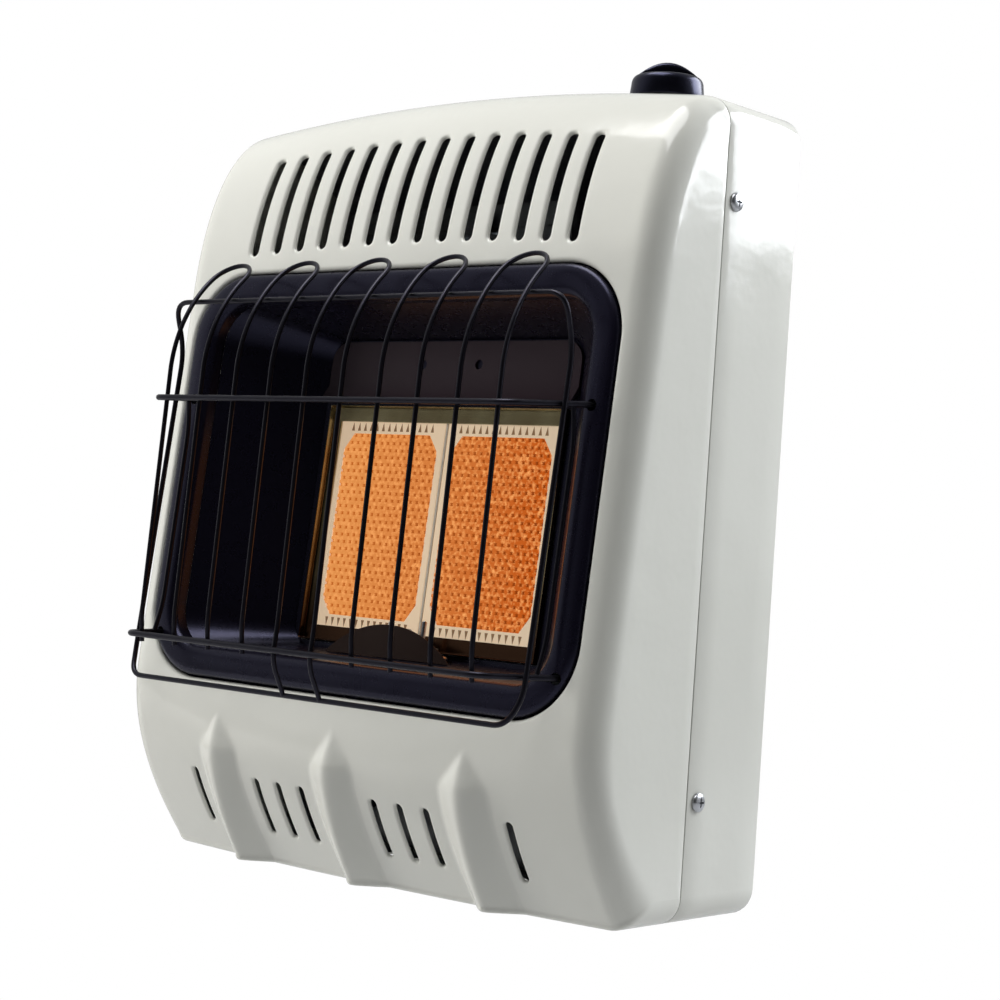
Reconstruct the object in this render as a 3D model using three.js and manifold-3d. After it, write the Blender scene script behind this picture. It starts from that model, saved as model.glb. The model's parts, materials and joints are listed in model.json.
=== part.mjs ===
// Wall mounted radiant gas heater with two ceramic plaques, in millimetres.
// +X is the viewer's right, +Y runs into the wall and +Z is up. The front faces -Y.
// Sizes are first laid out from the middle of the casing at the wall (y = 0 is the wall), and the
// whole heater is then shifted down so that the origin lies on the wall bracket's rear face.

import * as THREE from 'three';
import { mergeVertices } from 'three/addons/utils/BufferGeometryUtils.js';
import Module from 'manifold-3d';

const wasm = await Module();
wasm.setup();

// ---------------------------------------------------------------- driving dimensions

const clearance = 0.3;          // gap between pieces that touch or pass through each other
const runningFit = 0.1;         // radial gap of the valve's turning and sliding pieces
const sheet = 1.2;              // thickness of the pressed and folded sheets

// Casing
const halfWidth = 191.5;        // centre to the outside of a side wall
const bottomZ = -227;           // underside of the casing
const crownZ = 252;             // highest point of the arched top
const archRadius = 1473;        // radius of the arched top
const cornerRadius = 17;        // corners of the casing seen from the front
const seamY = -81;              // joint between the rear cabinet and the front cover
const rearY = -8;               // rear edge of the cabinet, off the wall
const rearFlange = 14;          // width of the cabinet's inward rear flange

// Front cover
const faceTilt = 6.06 * Math.PI / 180;  // the front leans back towards the top
const faceY = -155.3;           // middle of the fire opening on the sloping front
const faceZ = 11.8;
const straightTop = 134;        // the straight slope of the front ends here, above and below
const straightBottom = -108;
const lipY = -124;              // lower front edge
const lipRadius = 3;            // bend between the front and the flat underside
const lowerCrown = 10;          // forward bulge of the lower front in its middle
const crestLead = 58;           // how far the straight slope's direction leads into the rounded top
const crestReach = 34;          // and how far the top edge leads forward into it
const lowerLead = 44;           // the same for the rounded lower front
const lowerReach = 34;
const lowerSweep = 24;
const coverFlange = 19;         // side flange that slips into the cabinet
const ribPitch = 101;           // three embossed ribs below the fire opening
const ribHalfWidth = 17;
const ribTipZ = -136;           // pointed upper end of a rib
const ribFullZ = -156;          // full width from here down
const ribShoulder = 6.5;        // height of a rib's ridge there
const ribFoot = 15;             // and at the underside
const ribRound = 0.2;           // rounding of the ridge, as a share of the half width

// Louvres and air slots
const louvreCount = 14;
const louvrePitch = 20;
const louvreWidth = 7;
const louvreBottomZ = 156.5;
const louvreTopZ = 223.5;
const louvreSag = 0.65;         // how much the row of louvres follows the arched top
const airSlotXs = [30, 50, 70, 129];
const airSlotWidth = 5;
const airSlotBottomZ = -206;
const airSlotTopZ = -172;
const floorSlotCount = 9;       // slots in the cabinet's floor
const floorSlotStart = -150;
const floorSlotPitch = 27;
const floorSlotWidth = 14;
const floorSlotFront = -62;
const floorSlotRear = -34;

// Fire opening, measured on the sloping front from its middle
const openingHalfWidth = 173.5;
const openingBottom = -127.5;
const openingTop = 130;
const openingRadius = 45;
const bandWidth = 20;           // black frame between the opening and the fire
const fireboxMargin = 6.5;      // beside the burner's frame at the rear end of the firebox
const fireboxBottom = -97.5;
const fireboxTop = 98.5;
const fireboxRadius = 14;
const fireboxDepth = 58;

// Burner
const plaqueWidth = 90;
const plaqueHeight = 132;
const plaqueThickness = 12;
const plaqueGap = 1.9;
const plaqueFace = 61.5;        // depth of the glowing face behind the sloping front
const burnerZ = -18.8;          // height of the burner's middle on the slope
const plenumDepth = 36;
const plenumWall = 1.5;
const frameLip = 5;             // the bright frame stands this far in front of the plaques
const frameMargin = 6.5;        // and reaches this far past them at each side
const venturiZ = -60;
const venturiDepth = 84;
const venturiRadius = 11;
const injectorGap = 16;         // air gap between the venturi's mouth and the injector's bracket
const injectorSide = 39.5;      // from that bracket to the outside of the side wall
const burnerBracketFront = -89;
const burnerBracketBottom = -30;
const burnerBracketTop = 40;

// Wire guard
const hoopCount = 5;
const legWire = 1.45;           // wire radii
const barWire = 1.9;
const upperBarZ = 39.9;
const upperBarDepth = -50.8;
const lowerBarZ = -106.1;
const lowerBarDepth = -45;
const guardInset = 11.5;        // the bars' ends enter the bezel this far inside the opening's edge
const ringInset = 15;
const barInset = 30;
const barOverhang = 8.5;        // bar beyond the outermost legs
const barHoleRise = 8;          // the bars' ends rise this much on their way to the bezel
const hoopStartZ = 60;          // the legs bend back from here up
const hoopBend = 90;            // radius of that bend
const hoopLean = 41.3 * Math.PI / 180;
const ringTopZ = 104;
const ringTopDepth = -33;
const ringKneeZ = 76;           // the ring's sides bend forward above this height
const ringKneeDepth = -20.5;
const ringBottomZ = -131;
const ringBottomDepth = -30;

// Knob and valve
const knobX = 114.5;
const knobY = -40;
const knobRadius = 22.4;
const knobDrum = 13;
const gripHeight = 8.5;
const gripHalfWidth = 6.5;
const gripTurn = 40 * Math.PI / 180;    // direction of the grip when the knob is off
const knobTravel = 3;           // how far the knob is pushed in before it turns
const stemRadius = 4;
const plugRadius = 7;
const valveBottom = 168;
const valveTop = 214;
const valveHalfWidth = 23;
const valveHalfDepth = 20;

const valveShieldX = 77;        // upright sheet between the hot air outlet and the valve

// Gas inlet
const inletX = 140;
const inletY = -45;
const inletEnd = -219.5;
const inletRadius = 8.6;
const inletHole = 17;

// Wall bracket
const bracketZ = 170;
const bracketHalfWidth = 120;
const bracketHeight = 40;
const hookX = 55;
const hookWidth = 30;
const bracketSheet = 1.5;
const wallScrewX = 100;

// ---------------------------------------------------------------- materials

function finish(name, color, roughness, metalness) {
  const material = new THREE.MeshStandardMaterial({ color, roughness, metalness });
  material.name = name;
  return material;
}

const enamel = finish('enamel', 0xdcddd2, 0.25, 0);
const blackEnamel = finish('black_enamel', 0x17181d, 0.3, 0);
const steel = finish('steel', 0xb4b6b8, 0.35, 1);
const galvanised = finish('galvanised', 0x9b9fa1, 0.5, 1);
const brightSteel = finish('bright_steel', 0xd8d2b8, 0.2, 1);
const ceramic = finish('ceramic', 0xe58a3a, 0.9, 0);
const fibre = finish('fibre', 0xd9d2c2, 1, 0);
const brass = finish('brass', 0xb9954b, 0.35, 1);
const castMetal = finish('cast_metal', 0x8f9294, 0.5, 1);
const blackPlastic = finish('black_plastic', 0x1b1c22, 0.4, 0);
const whiteCeramic = finish('white_ceramic', 0xece9e0, 0.4, 0);
const rubberLead = finish('rubber_lead', 0x2a2a2c, 0.8, 0);

// ---------------------------------------------------------------- helpers

// A closed triangle mesh whose faces point out, whichever way its profile was drawn.
function outward(geometry) {
  const soup = geometry.index ? geometry.toNonIndexed() : geometry.clone();
  const p = soup.attributes.position.array;
  const corner = i => new THREE.Vector3(p[i], p[i + 1], p[i + 2]);
  let volume = 0;
  for (let i = 0; i < p.length; i += 9) {
    volume += corner(i).dot(corner(i + 3).cross(corner(i + 6)));
  }
  const faces = new Float32Array(p);
  if (volume < 0) {
    for (let i = 0; i < p.length; i += 9) {
      for (let k = 0; k < 3; k++) {
        faces[i + 3 + k] = p[i + 6 + k];
        faces[i + 6 + k] = p[i + 3 + k];
      }
    }
  }
  return new THREE.BufferGeometry().setAttribute('position', new THREE.BufferAttribute(faces, 3));
}

function solid(geometry) {
  const merged = mergeVertices(outward(geometry), 1e-4);
  return new wasm.Manifold(new wasm.Mesh({
    numProp: 3,
    vertProperties: merged.attributes.position.array,
    triVerts: new Uint32Array(merged.index.array),
  }));
}

function geometryOf(manifold) {
  const mesh = manifold.getMesh();
  const geometry = new THREE.BufferGeometry();
  geometry.setAttribute('position', new THREE.BufferAttribute(new Float32Array(mesh.vertProperties), 3));
  geometry.setIndex(new THREE.BufferAttribute(new Uint32Array(mesh.triVerts), 1));
  geometry.computeVertexNormals();
  return geometry;
}

function fuse(...geometries) {
  return geometryOf(geometries.map(solid).reduce((a, b) => a.add(b)));
}

function cut(geometry, ...tools) {
  return geometryOf(tools.map(solid).reduce((a, b) => a.subtract(b), solid(geometry)));
}

function box(x0, x1, y0, y1, z0, z1) {
  return new THREE.BoxGeometry(x1 - x0, y1 - y0, z1 - z0)
    .translate((x0 + x1) / 2, (y0 + y1) / 2, (z0 + z1) / 2);
}

// Points on an arc about (x, y), both ends included.
function arc(x, y, radius, from, to, steps) {
  return Array.from({ length: steps + 1 }, (_, i) => {
    const a = from + (to - from) * i / steps;
    return new THREE.Vector2(x + radius * Math.cos(a), y + radius * Math.sin(a));
  });
}

const quarter = Math.PI / 2;

function roundedRect(x0, x1, z0, z1, r, steps = 5) {
  return [
    ...arc(x0 + r, z0 + r, r, 2 * quarter, 3 * quarter, steps),
    ...arc(x1 - r, z0 + r, r, -quarter, 0, steps),
    ...arc(x1 - r, z1 - r, r, 0, quarter, steps),
    ...arc(x0 + r, z1 - r, r, quarter, 2 * quarter, steps),
  ];
}

// The casing's outline seen from the front, drawn in by an inset. All arcs keep their centres.
const archCentreZ = crownZ - archRadius;
const topAt = x => archCentreZ + Math.sqrt(archRadius ** 2 - x * x);   // height of the arched top
const cornerX = halfWidth - cornerRadius;
const upperCornerZ = archCentreZ + Math.sqrt((archRadius - cornerRadius) ** 2 - cornerX ** 2);
const archAngle = Math.atan2(upperCornerZ - archCentreZ, cornerX);

function casingOutline(inset) {
  const r = cornerRadius - inset;
  return [
    ...arc(-cornerX, bottomZ + cornerRadius, r, 2 * quarter, 3 * quarter, 4),
    ...arc(cornerX, bottomZ + cornerRadius, r, -quarter, 0, 4),
    ...arc(cornerX, upperCornerZ, r, 0, archAngle, 4),
    ...arc(0, archCentreZ, archRadius - inset, archAngle, 2 * quarter - archAngle, 10).slice(1, -1),
    ...arc(-cornerX, upperCornerZ, r, 2 * quarter - archAngle, 2 * quarter, 4),
  ];
}

// An extrusion of an outline in the X-Z plane from y0 to y1, with optional holes.
function alongY(outline, y0, y1, holes = []) {
  const shape = new THREE.Shape(outline);
  shape.holes = holes.map(points => new THREE.Path(points));
  return new THREE.ExtrudeGeometry(shape, { depth: y1 - y0, bevelEnabled: false })
    .rotateX(quarter).translate(0, y1, 0);
}

// An extrusion of an outline in the Y-Z plane from x0 to x1.
function alongX(outline, x0, x1) {
  const turn = new THREE.Matrix4().makeBasis(
    new THREE.Vector3(0, 1, 0), new THREE.Vector3(0, 0, 1), new THREE.Vector3(1, 0, 0));
  return new THREE.ExtrudeGeometry(new THREE.Shape(outline), { depth: x1 - x0, bevelEnabled: false })
    .applyMatrix4(turn).translate(x0, 0, 0);
}

function alongZ(outline, z0, z1) {
  return new THREE.ExtrudeGeometry(new THREE.Shape(outline), { depth: z1 - z0, bevelEnabled: false })
    .translate(0, 0, z0);
}

// A revolved piece about Z from [radius, height] pairs that start and end on the axis or close.
function turned(profile, sides = 16) {
  return new THREE.LatheGeometry(profile.map(([r, h]) => new THREE.Vector2(r, h)), sides).rotateX(quarter);
}

function rod(radius, z0, z1, sides = 12) {
  return turned([[0, z0], [radius, z0], [radius, z1], [0, z1]], sides);
}

// A folded sheet's section: a line of corners thickened to its left.
function folded(corners, thickness = sheet) {
  const line = corners.map(([a, b]) => new THREE.Vector2(a, b));
  const normals = line.slice(1).map((p, i) => {
    const d = p.clone().sub(line[i]).normalize();
    return new THREE.Vector2(-d.y, d.x);
  });
  const offset = line.map((p, i) => {
    const before = normals[Math.max(i - 1, 0)];
    const after = normals[Math.min(i, normals.length - 1)];
    const mitre = before.clone().add(after).normalize();
    return p.clone().addScaledVector(mitre, thickness / mitre.dot(after));
  });
  return [...line, ...offset.reverse()];
}

// A wire or tube through corner points, each corner turned into a bend of the given radius.
class BentLine extends THREE.Curve {
  constructor(points) {
    super();
    this.points = points;
  }

  getPoint(t) {
    const last = this.points.length - 1;
    const i = Math.min(Math.floor(t * last), last - 1);
    return this.points[i].clone().lerp(this.points[i + 1], t * last - i);
  }

  getPointAt(u) {
    return this.getPoint(u);
  }

  getTangentAt(u) {
    return this.getTangent(u);
  }
}

function bends(corners, radius, steps = 4) {
  const points = corners.map(c => new THREE.Vector3(...c));
  const path = [points[0]];
  for (let i = 1; i < points.length - 1; i++) {
    const back = points[i - 1].clone().sub(points[i]);
    const ahead = points[i + 1].clone().sub(points[i]);
    const half = back.angleTo(ahead) / 2;
    const reach = Math.min(radius / Math.tan(half), 0.48 * back.length(), 0.48 * ahead.length());
    const start = points[i].clone().addScaledVector(back.normalize(), reach);
    const end = points[i].clone().addScaledVector(ahead.normalize(), reach);
    path.push(...new THREE.QuadraticBezierCurve3(start, points[i], end).getPoints(steps));
  }
  path.push(points[points.length - 1]);
  return path;
}

function wire(points, radius, sides = 6) {
  const section = new THREE.Shape(arc(0, 0, radius, 0, 4 * quarter * (sides - 1) / sides, sides - 1));
  return new THREE.ExtrudeGeometry(section, {
    steps: points.length - 1,
    extrudePath: new BentLine(points),
  });
}

function piece(parent, name, geometry, material) {
  const mesh = new THREE.Mesh(outward(geometry), material);
  mesh.geometry.computeVertexNormals();
  mesh.name = name;
  parent.add(mesh);
  return mesh;
}

// ---------------------------------------------------------------- groups

const heater = new THREE.Group();
heater.position.z = -bracketZ;

// Pieces on the sloping front: x across, y in from the front surface, z up the slope.
const slope = new THREE.Group();
slope.position.set(0, faceY, faceZ);
slope.rotation.x = -faceTilt;
heater.add(slope);

const slopeMatrix = new THREE.Matrix4().makeRotationX(-faceTilt).setPosition(0, faceY, faceZ);
const onSlope = geometry => geometry.applyMatrix4(slopeMatrix);
const slopePoint = (x, depth, z) => new THREE.Vector3(x, depth, z).applyMatrix4(slopeMatrix);

// ---------------------------------------------------------------- rear cabinet and back panel

const coverInset = sheet + clearance;
const sideScrewY = seamY + 9.7;
const sideScrewZs = [182, -157];
const backScrewX = 120;
const backScrewXs = [-backScrewX, backScrewX];
const backScrewZs = [topAt(backScrewX) - rearFlange / 2, bottomZ + rearFlange / 2];

function rearCabinet() {
  const wall = alongY(casingOutline(0), seamY, rearY, [casingOutline(sheet).reverse()]);
  const flange = alongY(casingOutline(sheet / 2), rearY - sheet, rearY,
    [casingOutline(rearFlange).reverse()]);
  const knobHole = rod(stemRadius + 6, crownZ - 30, crownZ + 5, 16).translate(knobX, knobY, 0);
  const pipeHole = rod(inletHole, bottomZ - 5, bottomZ + 5, 16).translate(inletX, inletY, 0);
  const airSlots = Array.from({ length: floorSlotCount }, (_, i) => {
    const x = floorSlotStart + i * floorSlotPitch;
    return box(x, x + floorSlotWidth, floorSlotFront, floorSlotRear, bottomZ - 5, bottomZ + 5);
  });
  const screwHoles = [-1, 1].flatMap(side => sideScrewZs.map(z =>
    rod(2.2, -8, 8, 8).rotateY(quarter).translate(side * halfWidth, sideScrewY, z)));
  const backHoles = backScrewXs.flatMap(x => backScrewZs.map(z =>
    rod(2.2, -8, 8, 8).rotateX(quarter).translate(x, rearY, z)));
  return cut(fuse(wall, flange), knobHole, pipeHole, ...airSlots, ...screwHoles, ...backHoles);
}

const panelFront = rearY - sheet - clearance - sheet;   // front face of the back panel
const panelRear = panelFront + sheet;
const hookTop = bracketZ + 13;                          // top of a hook's arm
const dimpleX = 120;
const dimpleZ = -190;

function backPanel() {
  const outline = casingOutline(sheet + 1);
  const slots = [-1, 1].map(side =>
    box(side * hookX - 18, side * hookX + 18, -30, 5, hookTop - 17, hookTop + clearance));
  const panel = alongY(outline, panelFront, panelRear);
  const dimples = [-1, 1].map(side => turned([
    [3, -sheet], [8, -sheet], [14, panelFront], [14, panelRear], [15.5, panelRear], [9.4, 0], [3, 0],
    [3, -sheet],
  ], 16).applyMatrix4(new THREE.Matrix4().makeBasis(
    new THREE.Vector3(1, 0, 0), new THREE.Vector3(0, 0, -1), new THREE.Vector3(0, 1, 0)))
    .translate(side * dimpleX, 0, dimpleZ));
  const dimpleHoles = [-1, 1].map(side =>
    rod(14.6, -30, 5, 16).rotateX(quarter).translate(side * dimpleX, panelFront, dimpleZ));
  const screwHoles = backScrewXs.flatMap(x => backScrewZs.map(z =>
    rod(2.2, -8, 8, 8).rotateX(quarter).translate(x, rearY, z)));
  return fuse(cut(panel, ...slots, ...dimpleHoles, ...screwHoles), ...dimples);
}

function wallBracket() {
  const top = bracketZ + bracketHeight / 2;
  const bottom = bracketZ - bracketHeight / 2;
  const strip = box(-bracketHalfWidth, bracketHalfWidth, -bracketSheet, 0, bottom, top);
  const reach = panelFront - 6;
  const arm = [[-0.5, hookTop], [reach, hookTop], [reach, hookTop + 12]];
  const hook = side => alongX(folded(arm, bracketSheet),
    side * hookX - hookWidth / 2, side * hookX + hookWidth / 2);
  const holes = [-1, 1].map(side =>
    rod(3, -8, 8, 12).rotateX(quarter).translate(side * wallScrewX, 0, bracketZ));
  return cut(fuse(strip, hook(-1), hook(1)), ...holes);
}

// ---------------------------------------------------------------- front cover

// Side profile of the cover's middle, from the seam along the underside and up the front to the top
// seam. The blend grows from 0 on the straight slope to 1 at the top edge and -1 at the underside, so
// that the surface takes on the casing's rounded outline. The ribs and the bulge fade at the seam.
const slopeY = z => faceY + Math.tan(faceTilt) * (z - faceZ);

function coverProfile() {
  const top = new THREE.CubicBezierCurve(
    new THREE.Vector2(slopeY(straightTop), straightTop),
    new THREE.Vector2(slopeY(straightTop + crestLead), straightTop + crestLead),
    new THREE.Vector2(seamY - crestReach, crownZ),
    new THREE.Vector2(seamY, crownZ));
  const lower = new THREE.CubicBezierCurve(
    new THREE.Vector2(lipY, bottomZ + lipRadius),
    new THREE.Vector2(lipY - lowerSweep, bottomZ + lowerReach),
    new THREE.Vector2(slopeY(straightBottom - lowerLead), straightBottom - lowerLead),
    new THREE.Vector2(slopeY(straightBottom), straightBottom));
  const underside = [
    { y: seamY, z: bottomZ, blend: -1, shaped: 0 },
    { y: lipY + lipRadius, z: bottomZ, blend: -1, shaped: 1 },
  ];
  const steps = 7;
  const rise = lower.getPoints(steps).map((p, i) => ({
    y: p.x,
    z: p.y,
    blend: -((1 - i / steps) ** 2),
    shaped: 1,
  }));
  const crest = top.getPoints(8).map(p => ({
    y: p.x,
    z: p.y,
    blend: ((p.y - straightTop) / (crownZ - straightTop)) ** 2,
    shaped: 1,
  }));
  return [...underside, ...rise, ...crest];
}

// A rib is a ridge with straight flanks and a rounded crest that grows from a pointed upper end.
function ribBump(x, z) {
  const grown = THREE.MathUtils.clamp((ribTipZ - z) / (ribTipZ - ribFullZ), 0, 1);
  if (grown === 0) return 0;
  const below = THREE.MathUtils.clamp((ribFullZ - z) / (ribFullZ - bottomZ), 0, 1);
  const nearest = Math.round(THREE.MathUtils.clamp(x / ribPitch, -1, 1)) * ribPitch;
  const t = Math.min(Math.abs(x - nearest) / (ribHalfWidth * Math.max(grown, 0.1)), 1);
  const flank = (Math.hypot(1, ribRound) - Math.hypot(t, ribRound)) / (Math.hypot(1, ribRound) - ribRound);
  return grown * (ribShoulder + (ribFoot - ribShoulder) * below) * flank;
}

const shoulderX = halfWidth - cornerRadius;

// A point of the cover's outer surface at station x across and profile station p.
function coverPoint(x, p) {
  const over = Math.min(Math.max((Math.abs(x) - shoulderX) / cornerRadius, 0), 1);
  const turn = 1 - Math.sqrt(1 - over * over);
  const topEdge = over > 0
    ? upperCornerZ + Math.sqrt(Math.max(cornerRadius ** 2 - (Math.abs(x) - cornerX) ** 2, 0))
    : topAt(x);
  const z = p.blend > 0
    ? p.z - (crownZ - topEdge) * p.blend
    : p.z - cornerRadius * turn * p.blend;
  const bulge = lowerCrown * THREE.MathUtils.smoothstep(straightBottom - z, 0, 60)
    * (1 - Math.min(Math.abs(x) / shoulderX, 1) ** 2);
  const front = p.y - p.shaped * (bulge + ribBump(x, z));
  const round = Math.min(cornerRadius, seamY - p.y);
  return new THREE.Vector3(x, Math.min(front + round * turn, seamY), z);
}

function coverShell() {
  const shoulder = [0, 0.25, 0.5, 0.75, 1].map(s => shoulderX + cornerRadius * Math.sin(s * quarter));
  const ribs = [0, ribPitch].flatMap(c => [-1, -0.15, 0, 0.15, 1].map(s => c + s * ribHalfWidth));
  const right = [...ribs.filter(x => x > 0), ...shoulder].sort((a, b) => a - b);
  const xs = [...right.map(x => -x).reverse(), 0, ...right];
  const profile = coverProfile();
  const outer = profile.map(p => {
    const row = xs.map(x => coverPoint(x, p));
    const seam = end => new THREE.Vector3(end.x, seamY, end.z);
    return [seam(row[0]), ...row, seam(row[row.length - 1])];
  });
  const rows = outer.length;
  const columns = outer[0].length;
  const at = (i, j) => outer[Math.min(Math.max(i, 0), rows - 1)][Math.min(Math.max(j, 0), columns - 1)];
  const inner = outer.map((row, i) => row.map((p, j) => {
    const along = at(i, j + 1).clone().sub(at(i, j - 1));
    const up = at(i + 1, j).clone().sub(at(i - 1, j));
    const normal = along.cross(up).normalize();
    if (Math.abs(p.x) > halfWidth - 0.01) normal.set(Math.sign(p.x), 0, 0);
    const q = p.clone().addScaledVector(normal, -sheet);
    if (p.y === seamY) q.y = seamY;
    return q;
  }));
  const corners = [...outer.flat(), ...inner.flat()];
  const faces = [];
  const quad = (a, b, c, d) => faces.push(a, b, c, a, c, d);
  const shift = rows * columns;
  for (let i = 0; i < rows - 1; i++) {
    for (let j = 0; j < columns - 1; j++) {
      const k = i * columns + j;
      quad(k, k + 1, k + columns + 1, k + columns);
      quad(k + shift, k + columns + shift, k + columns + 1 + shift, k + 1 + shift);
    }
  }
  for (let i = 0; i < rows - 1; i++) {
    const left = i * columns;
    const edge = left + columns - 1;
    quad(left, left + columns, left + columns + shift, left + shift);
    quad(edge, edge + shift, edge + columns + shift, edge + columns);
  }
  for (let j = 0; j < columns - 1; j++) {
    const top = (rows - 1) * columns + j;
    quad(j, j + shift, j + 1 + shift, j + 1);
    quad(top, top + 1, top + 1 + shift, top + shift);
  }
  const geometry = new THREE.BufferGeometry().setFromPoints(corners);
  geometry.setIndex(faces);
  return geometry;
}

function slot(x, width, z0, z1, y0, y1) {
  const r = width / 2;
  return alongY([
    ...arc(x, z0 + r, r, -2 * quarter, 0, 4),
    ...arc(x, z1 - r, r, 0, 2 * quarter, 4),
  ], y0, y1);
}

function frontCover() {
  const louvres = Array.from({ length: louvreCount }, (_, i) => {
    const x = (i - (louvreCount - 1) / 2) * louvrePitch;
    const drop = louvreSag * x * x / (2 * archRadius);
    return slot(x, louvreWidth, louvreBottomZ - drop, louvreTopZ - drop, seamY - 90, seamY - 15);
  });
  const airSlots = airSlotXs.flatMap(x => [-x, x]).map(x =>
    slot(x, airSlotWidth, airSlotBottomZ, airSlotTopZ, seamY - 130, seamY - 25));
  const opening = onSlope(alongY(roundedRect(-openingHalfWidth, openingHalfWidth,
    openingBottom, openingTop, openingRadius, 6), -25, 25));
  const flangeOut = halfWidth - coverInset;
  const flange = side => alongZ([
    [halfWidth - sheet / 2, seamY - 10], [halfWidth - sheet / 2, seamY - clearance],
    [flangeOut, seamY - clearance], [flangeOut, seamY + coverFlange],
    [flangeOut - sheet, seamY + coverFlange], [flangeOut - sheet, seamY - 10],
  ].map(([x, y]) => new THREE.Vector2(side * x, y)), bottomZ + 30, upperCornerZ - 12);
  const screwHoles = [-1, 1].flatMap(side => sideScrewZs.map(z =>
    rod(1.9, -8, 8, 8).rotateY(quarter).translate(side * halfWidth, sideScrewY, z)));
  const shell = coverShell().translate(0, -clearance, 0);
  return cut(fuse(shell, flange(-1), flange(1)), ...louvres, ...airSlots, opening, ...screwHoles);
}

// ---------------------------------------------------------------- bezel and firebox

// A ring of sheet swept round a rounded rectangle. Each station gives the rectangle and its depth.
function ringSheet(stations) {
  const loops = stations.map(s => roundedRect(-s.half, s.half, s.low, s.high, s.radius, 6)
    .map(p => new THREE.Vector3(p.x, s.depth, p.y)));
  const count = loops[0].length;
  const faces = [];
  loops.forEach((_, i) => {
    const next = (i + 1) % loops.length;
    for (let j = 0; j < count; j++) {
      const k = (j + 1) % count;
      faces.push(i * count + j, i * count + k, next * count + k);
      faces.push(i * count + j, next * count + k, next * count + j);
    }
  });
  const geometry = new THREE.BufferGeometry().setFromPoints(loops.flat());
  geometry.setIndex(faces);
  return geometry;
}

const openingStation = (grow, depth) => ({
  half: openingHalfWidth + grow,
  low: openingBottom - grow,
  high: openingTop + grow,
  radius: openingRadius + grow,
  depth,
});

function frontBezel() {
  const inside = -bandWidth;
  const bezelSeat = sheet + 3 * clearance;
  const stations = [
    [4.5, bezelSeat], [-clearance - 0.4, bezelSeat], [-clearance - 0.4, -0.4], [-6, -2.4],
    [inside + 6, -2.8], [inside + 2.4, -1.6], [inside, 2], [inside, 8],
    [inside + sheet, 8], [inside + sheet, 2.4], [inside + 3.2, -0.2], [inside + 6.2, -1.4],
    [-6, -1], [-clearance - 1.8, 0.6], [-clearance - 1.8, bezelSeat + sheet], [4.5, bezelSeat + sheet],
  ].map(([grow, depth]) => openingStation(grow, depth));
  const holes = [upperBarZ + barHoleRise, lowerBarZ + barHoleRise / 2].flatMap(z => [-1, 1].map(side =>
    rod(barWire + 1.5, -20, 6, 10).rotateX(quarter).translate(side * guardHoleX, 0, z)));
  return cut(ringSheet(stations), ...holes);
}

const linerFront = 8 + clearance;
const burnerInside = plaqueWidth + plaqueGap / 2;
const frameHalfWidth = burnerInside + frameMargin;
const frameHalfHeight = plaqueHeight / 2 + 9.3;
const fireboxHalfWidth = frameHalfWidth + fireboxMargin;

function fireboxLiner() {
  const front = openingStation(-bandWidth, linerFront);
  const rear = {
    half: fireboxHalfWidth, low: fireboxBottom, high: fireboxTop, radius: fireboxRadius, depth: fireboxDepth,
  };
  const grown = (s, by) => ({
    half: s.half + by, low: s.low - by, high: s.high + by, radius: s.radius + by, depth: s.depth,
  });
  const shell = ringSheet([front, rear, grown(rear, sheet), grown(front, sheet)]);
  const pilotHole = alongZ(roundedRect(-22, 22, 43.5, 54.5, 4, 3), fireboxBottom - 15, fireboxBottom + 8);
  const screwHoles = pilotScrewXs.map(x =>
    rod(2, fireboxBottom - 15, fireboxBottom + 8, 8).translate(x, pilotScrewDepth, 0));
  return cut(shell, pilotHole, ...screwHoles);
}

const backPlateDepth = fireboxDepth + clearance;

function fireboxBackPlate() {
  const window = roundedRect(-frameHalfWidth - 0.6, frameHalfWidth + 0.6,
    burnerZ - frameHalfHeight - 0.6, burnerZ + frameHalfHeight + 0.6, 0.2, 1);
  const outline = roundedRect(-fireboxHalfWidth - 4, fireboxHalfWidth + 4,
    fireboxBottom - 4, fireboxTop + 4, fireboxRadius + 4, 6);
  return alongY(outline, backPlateDepth, backPlateDepth + sheet, [window.reverse()]);
}

const deflectorHoleX = 23;
const deflectorHoleZ = 83;

function upperDeflector() {
  const bendZ = burnerZ + frameHalfHeight + 12.5;
  const rear = backPlateDepth - clearance;
  const section = folded([[rear, fireboxTop - 1], [rear, bendZ], [rear - 6, bendZ - 10]], -sheet);
  const plate = solid(alongX(section, -fireboxHalfWidth, fireboxHalfWidth));
  const room = solid(alongY(roundedRect(-fireboxHalfWidth + 1, fireboxHalfWidth - 1,
    fireboxBottom + 1, fireboxTop - 1, fireboxRadius - 1, 6), 0, 80));
  const holes = [-1, 1].map(side =>
    solid(rod(3, 40, 70, 12).rotateX(-quarter).translate(side * deflectorHoleX, 0, deflectorHoleZ)));
  return geometryOf(holes.reduce((a, b) => a.subtract(b), plate.intersect(room)));
}

// ---------------------------------------------------------------- wire guard

const guardHoleX = openingHalfWidth - guardInset;
const ringHalfWidth = openingHalfWidth - ringInset;
const barHalfWidth = openingHalfWidth - barInset;
const legPitch = 2 * (barHalfWidth - barOverhang) / (2 * hoopCount - 1);
const mirrored = points => points.map(([x, d, z]) => [-x, d, z]);

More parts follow.
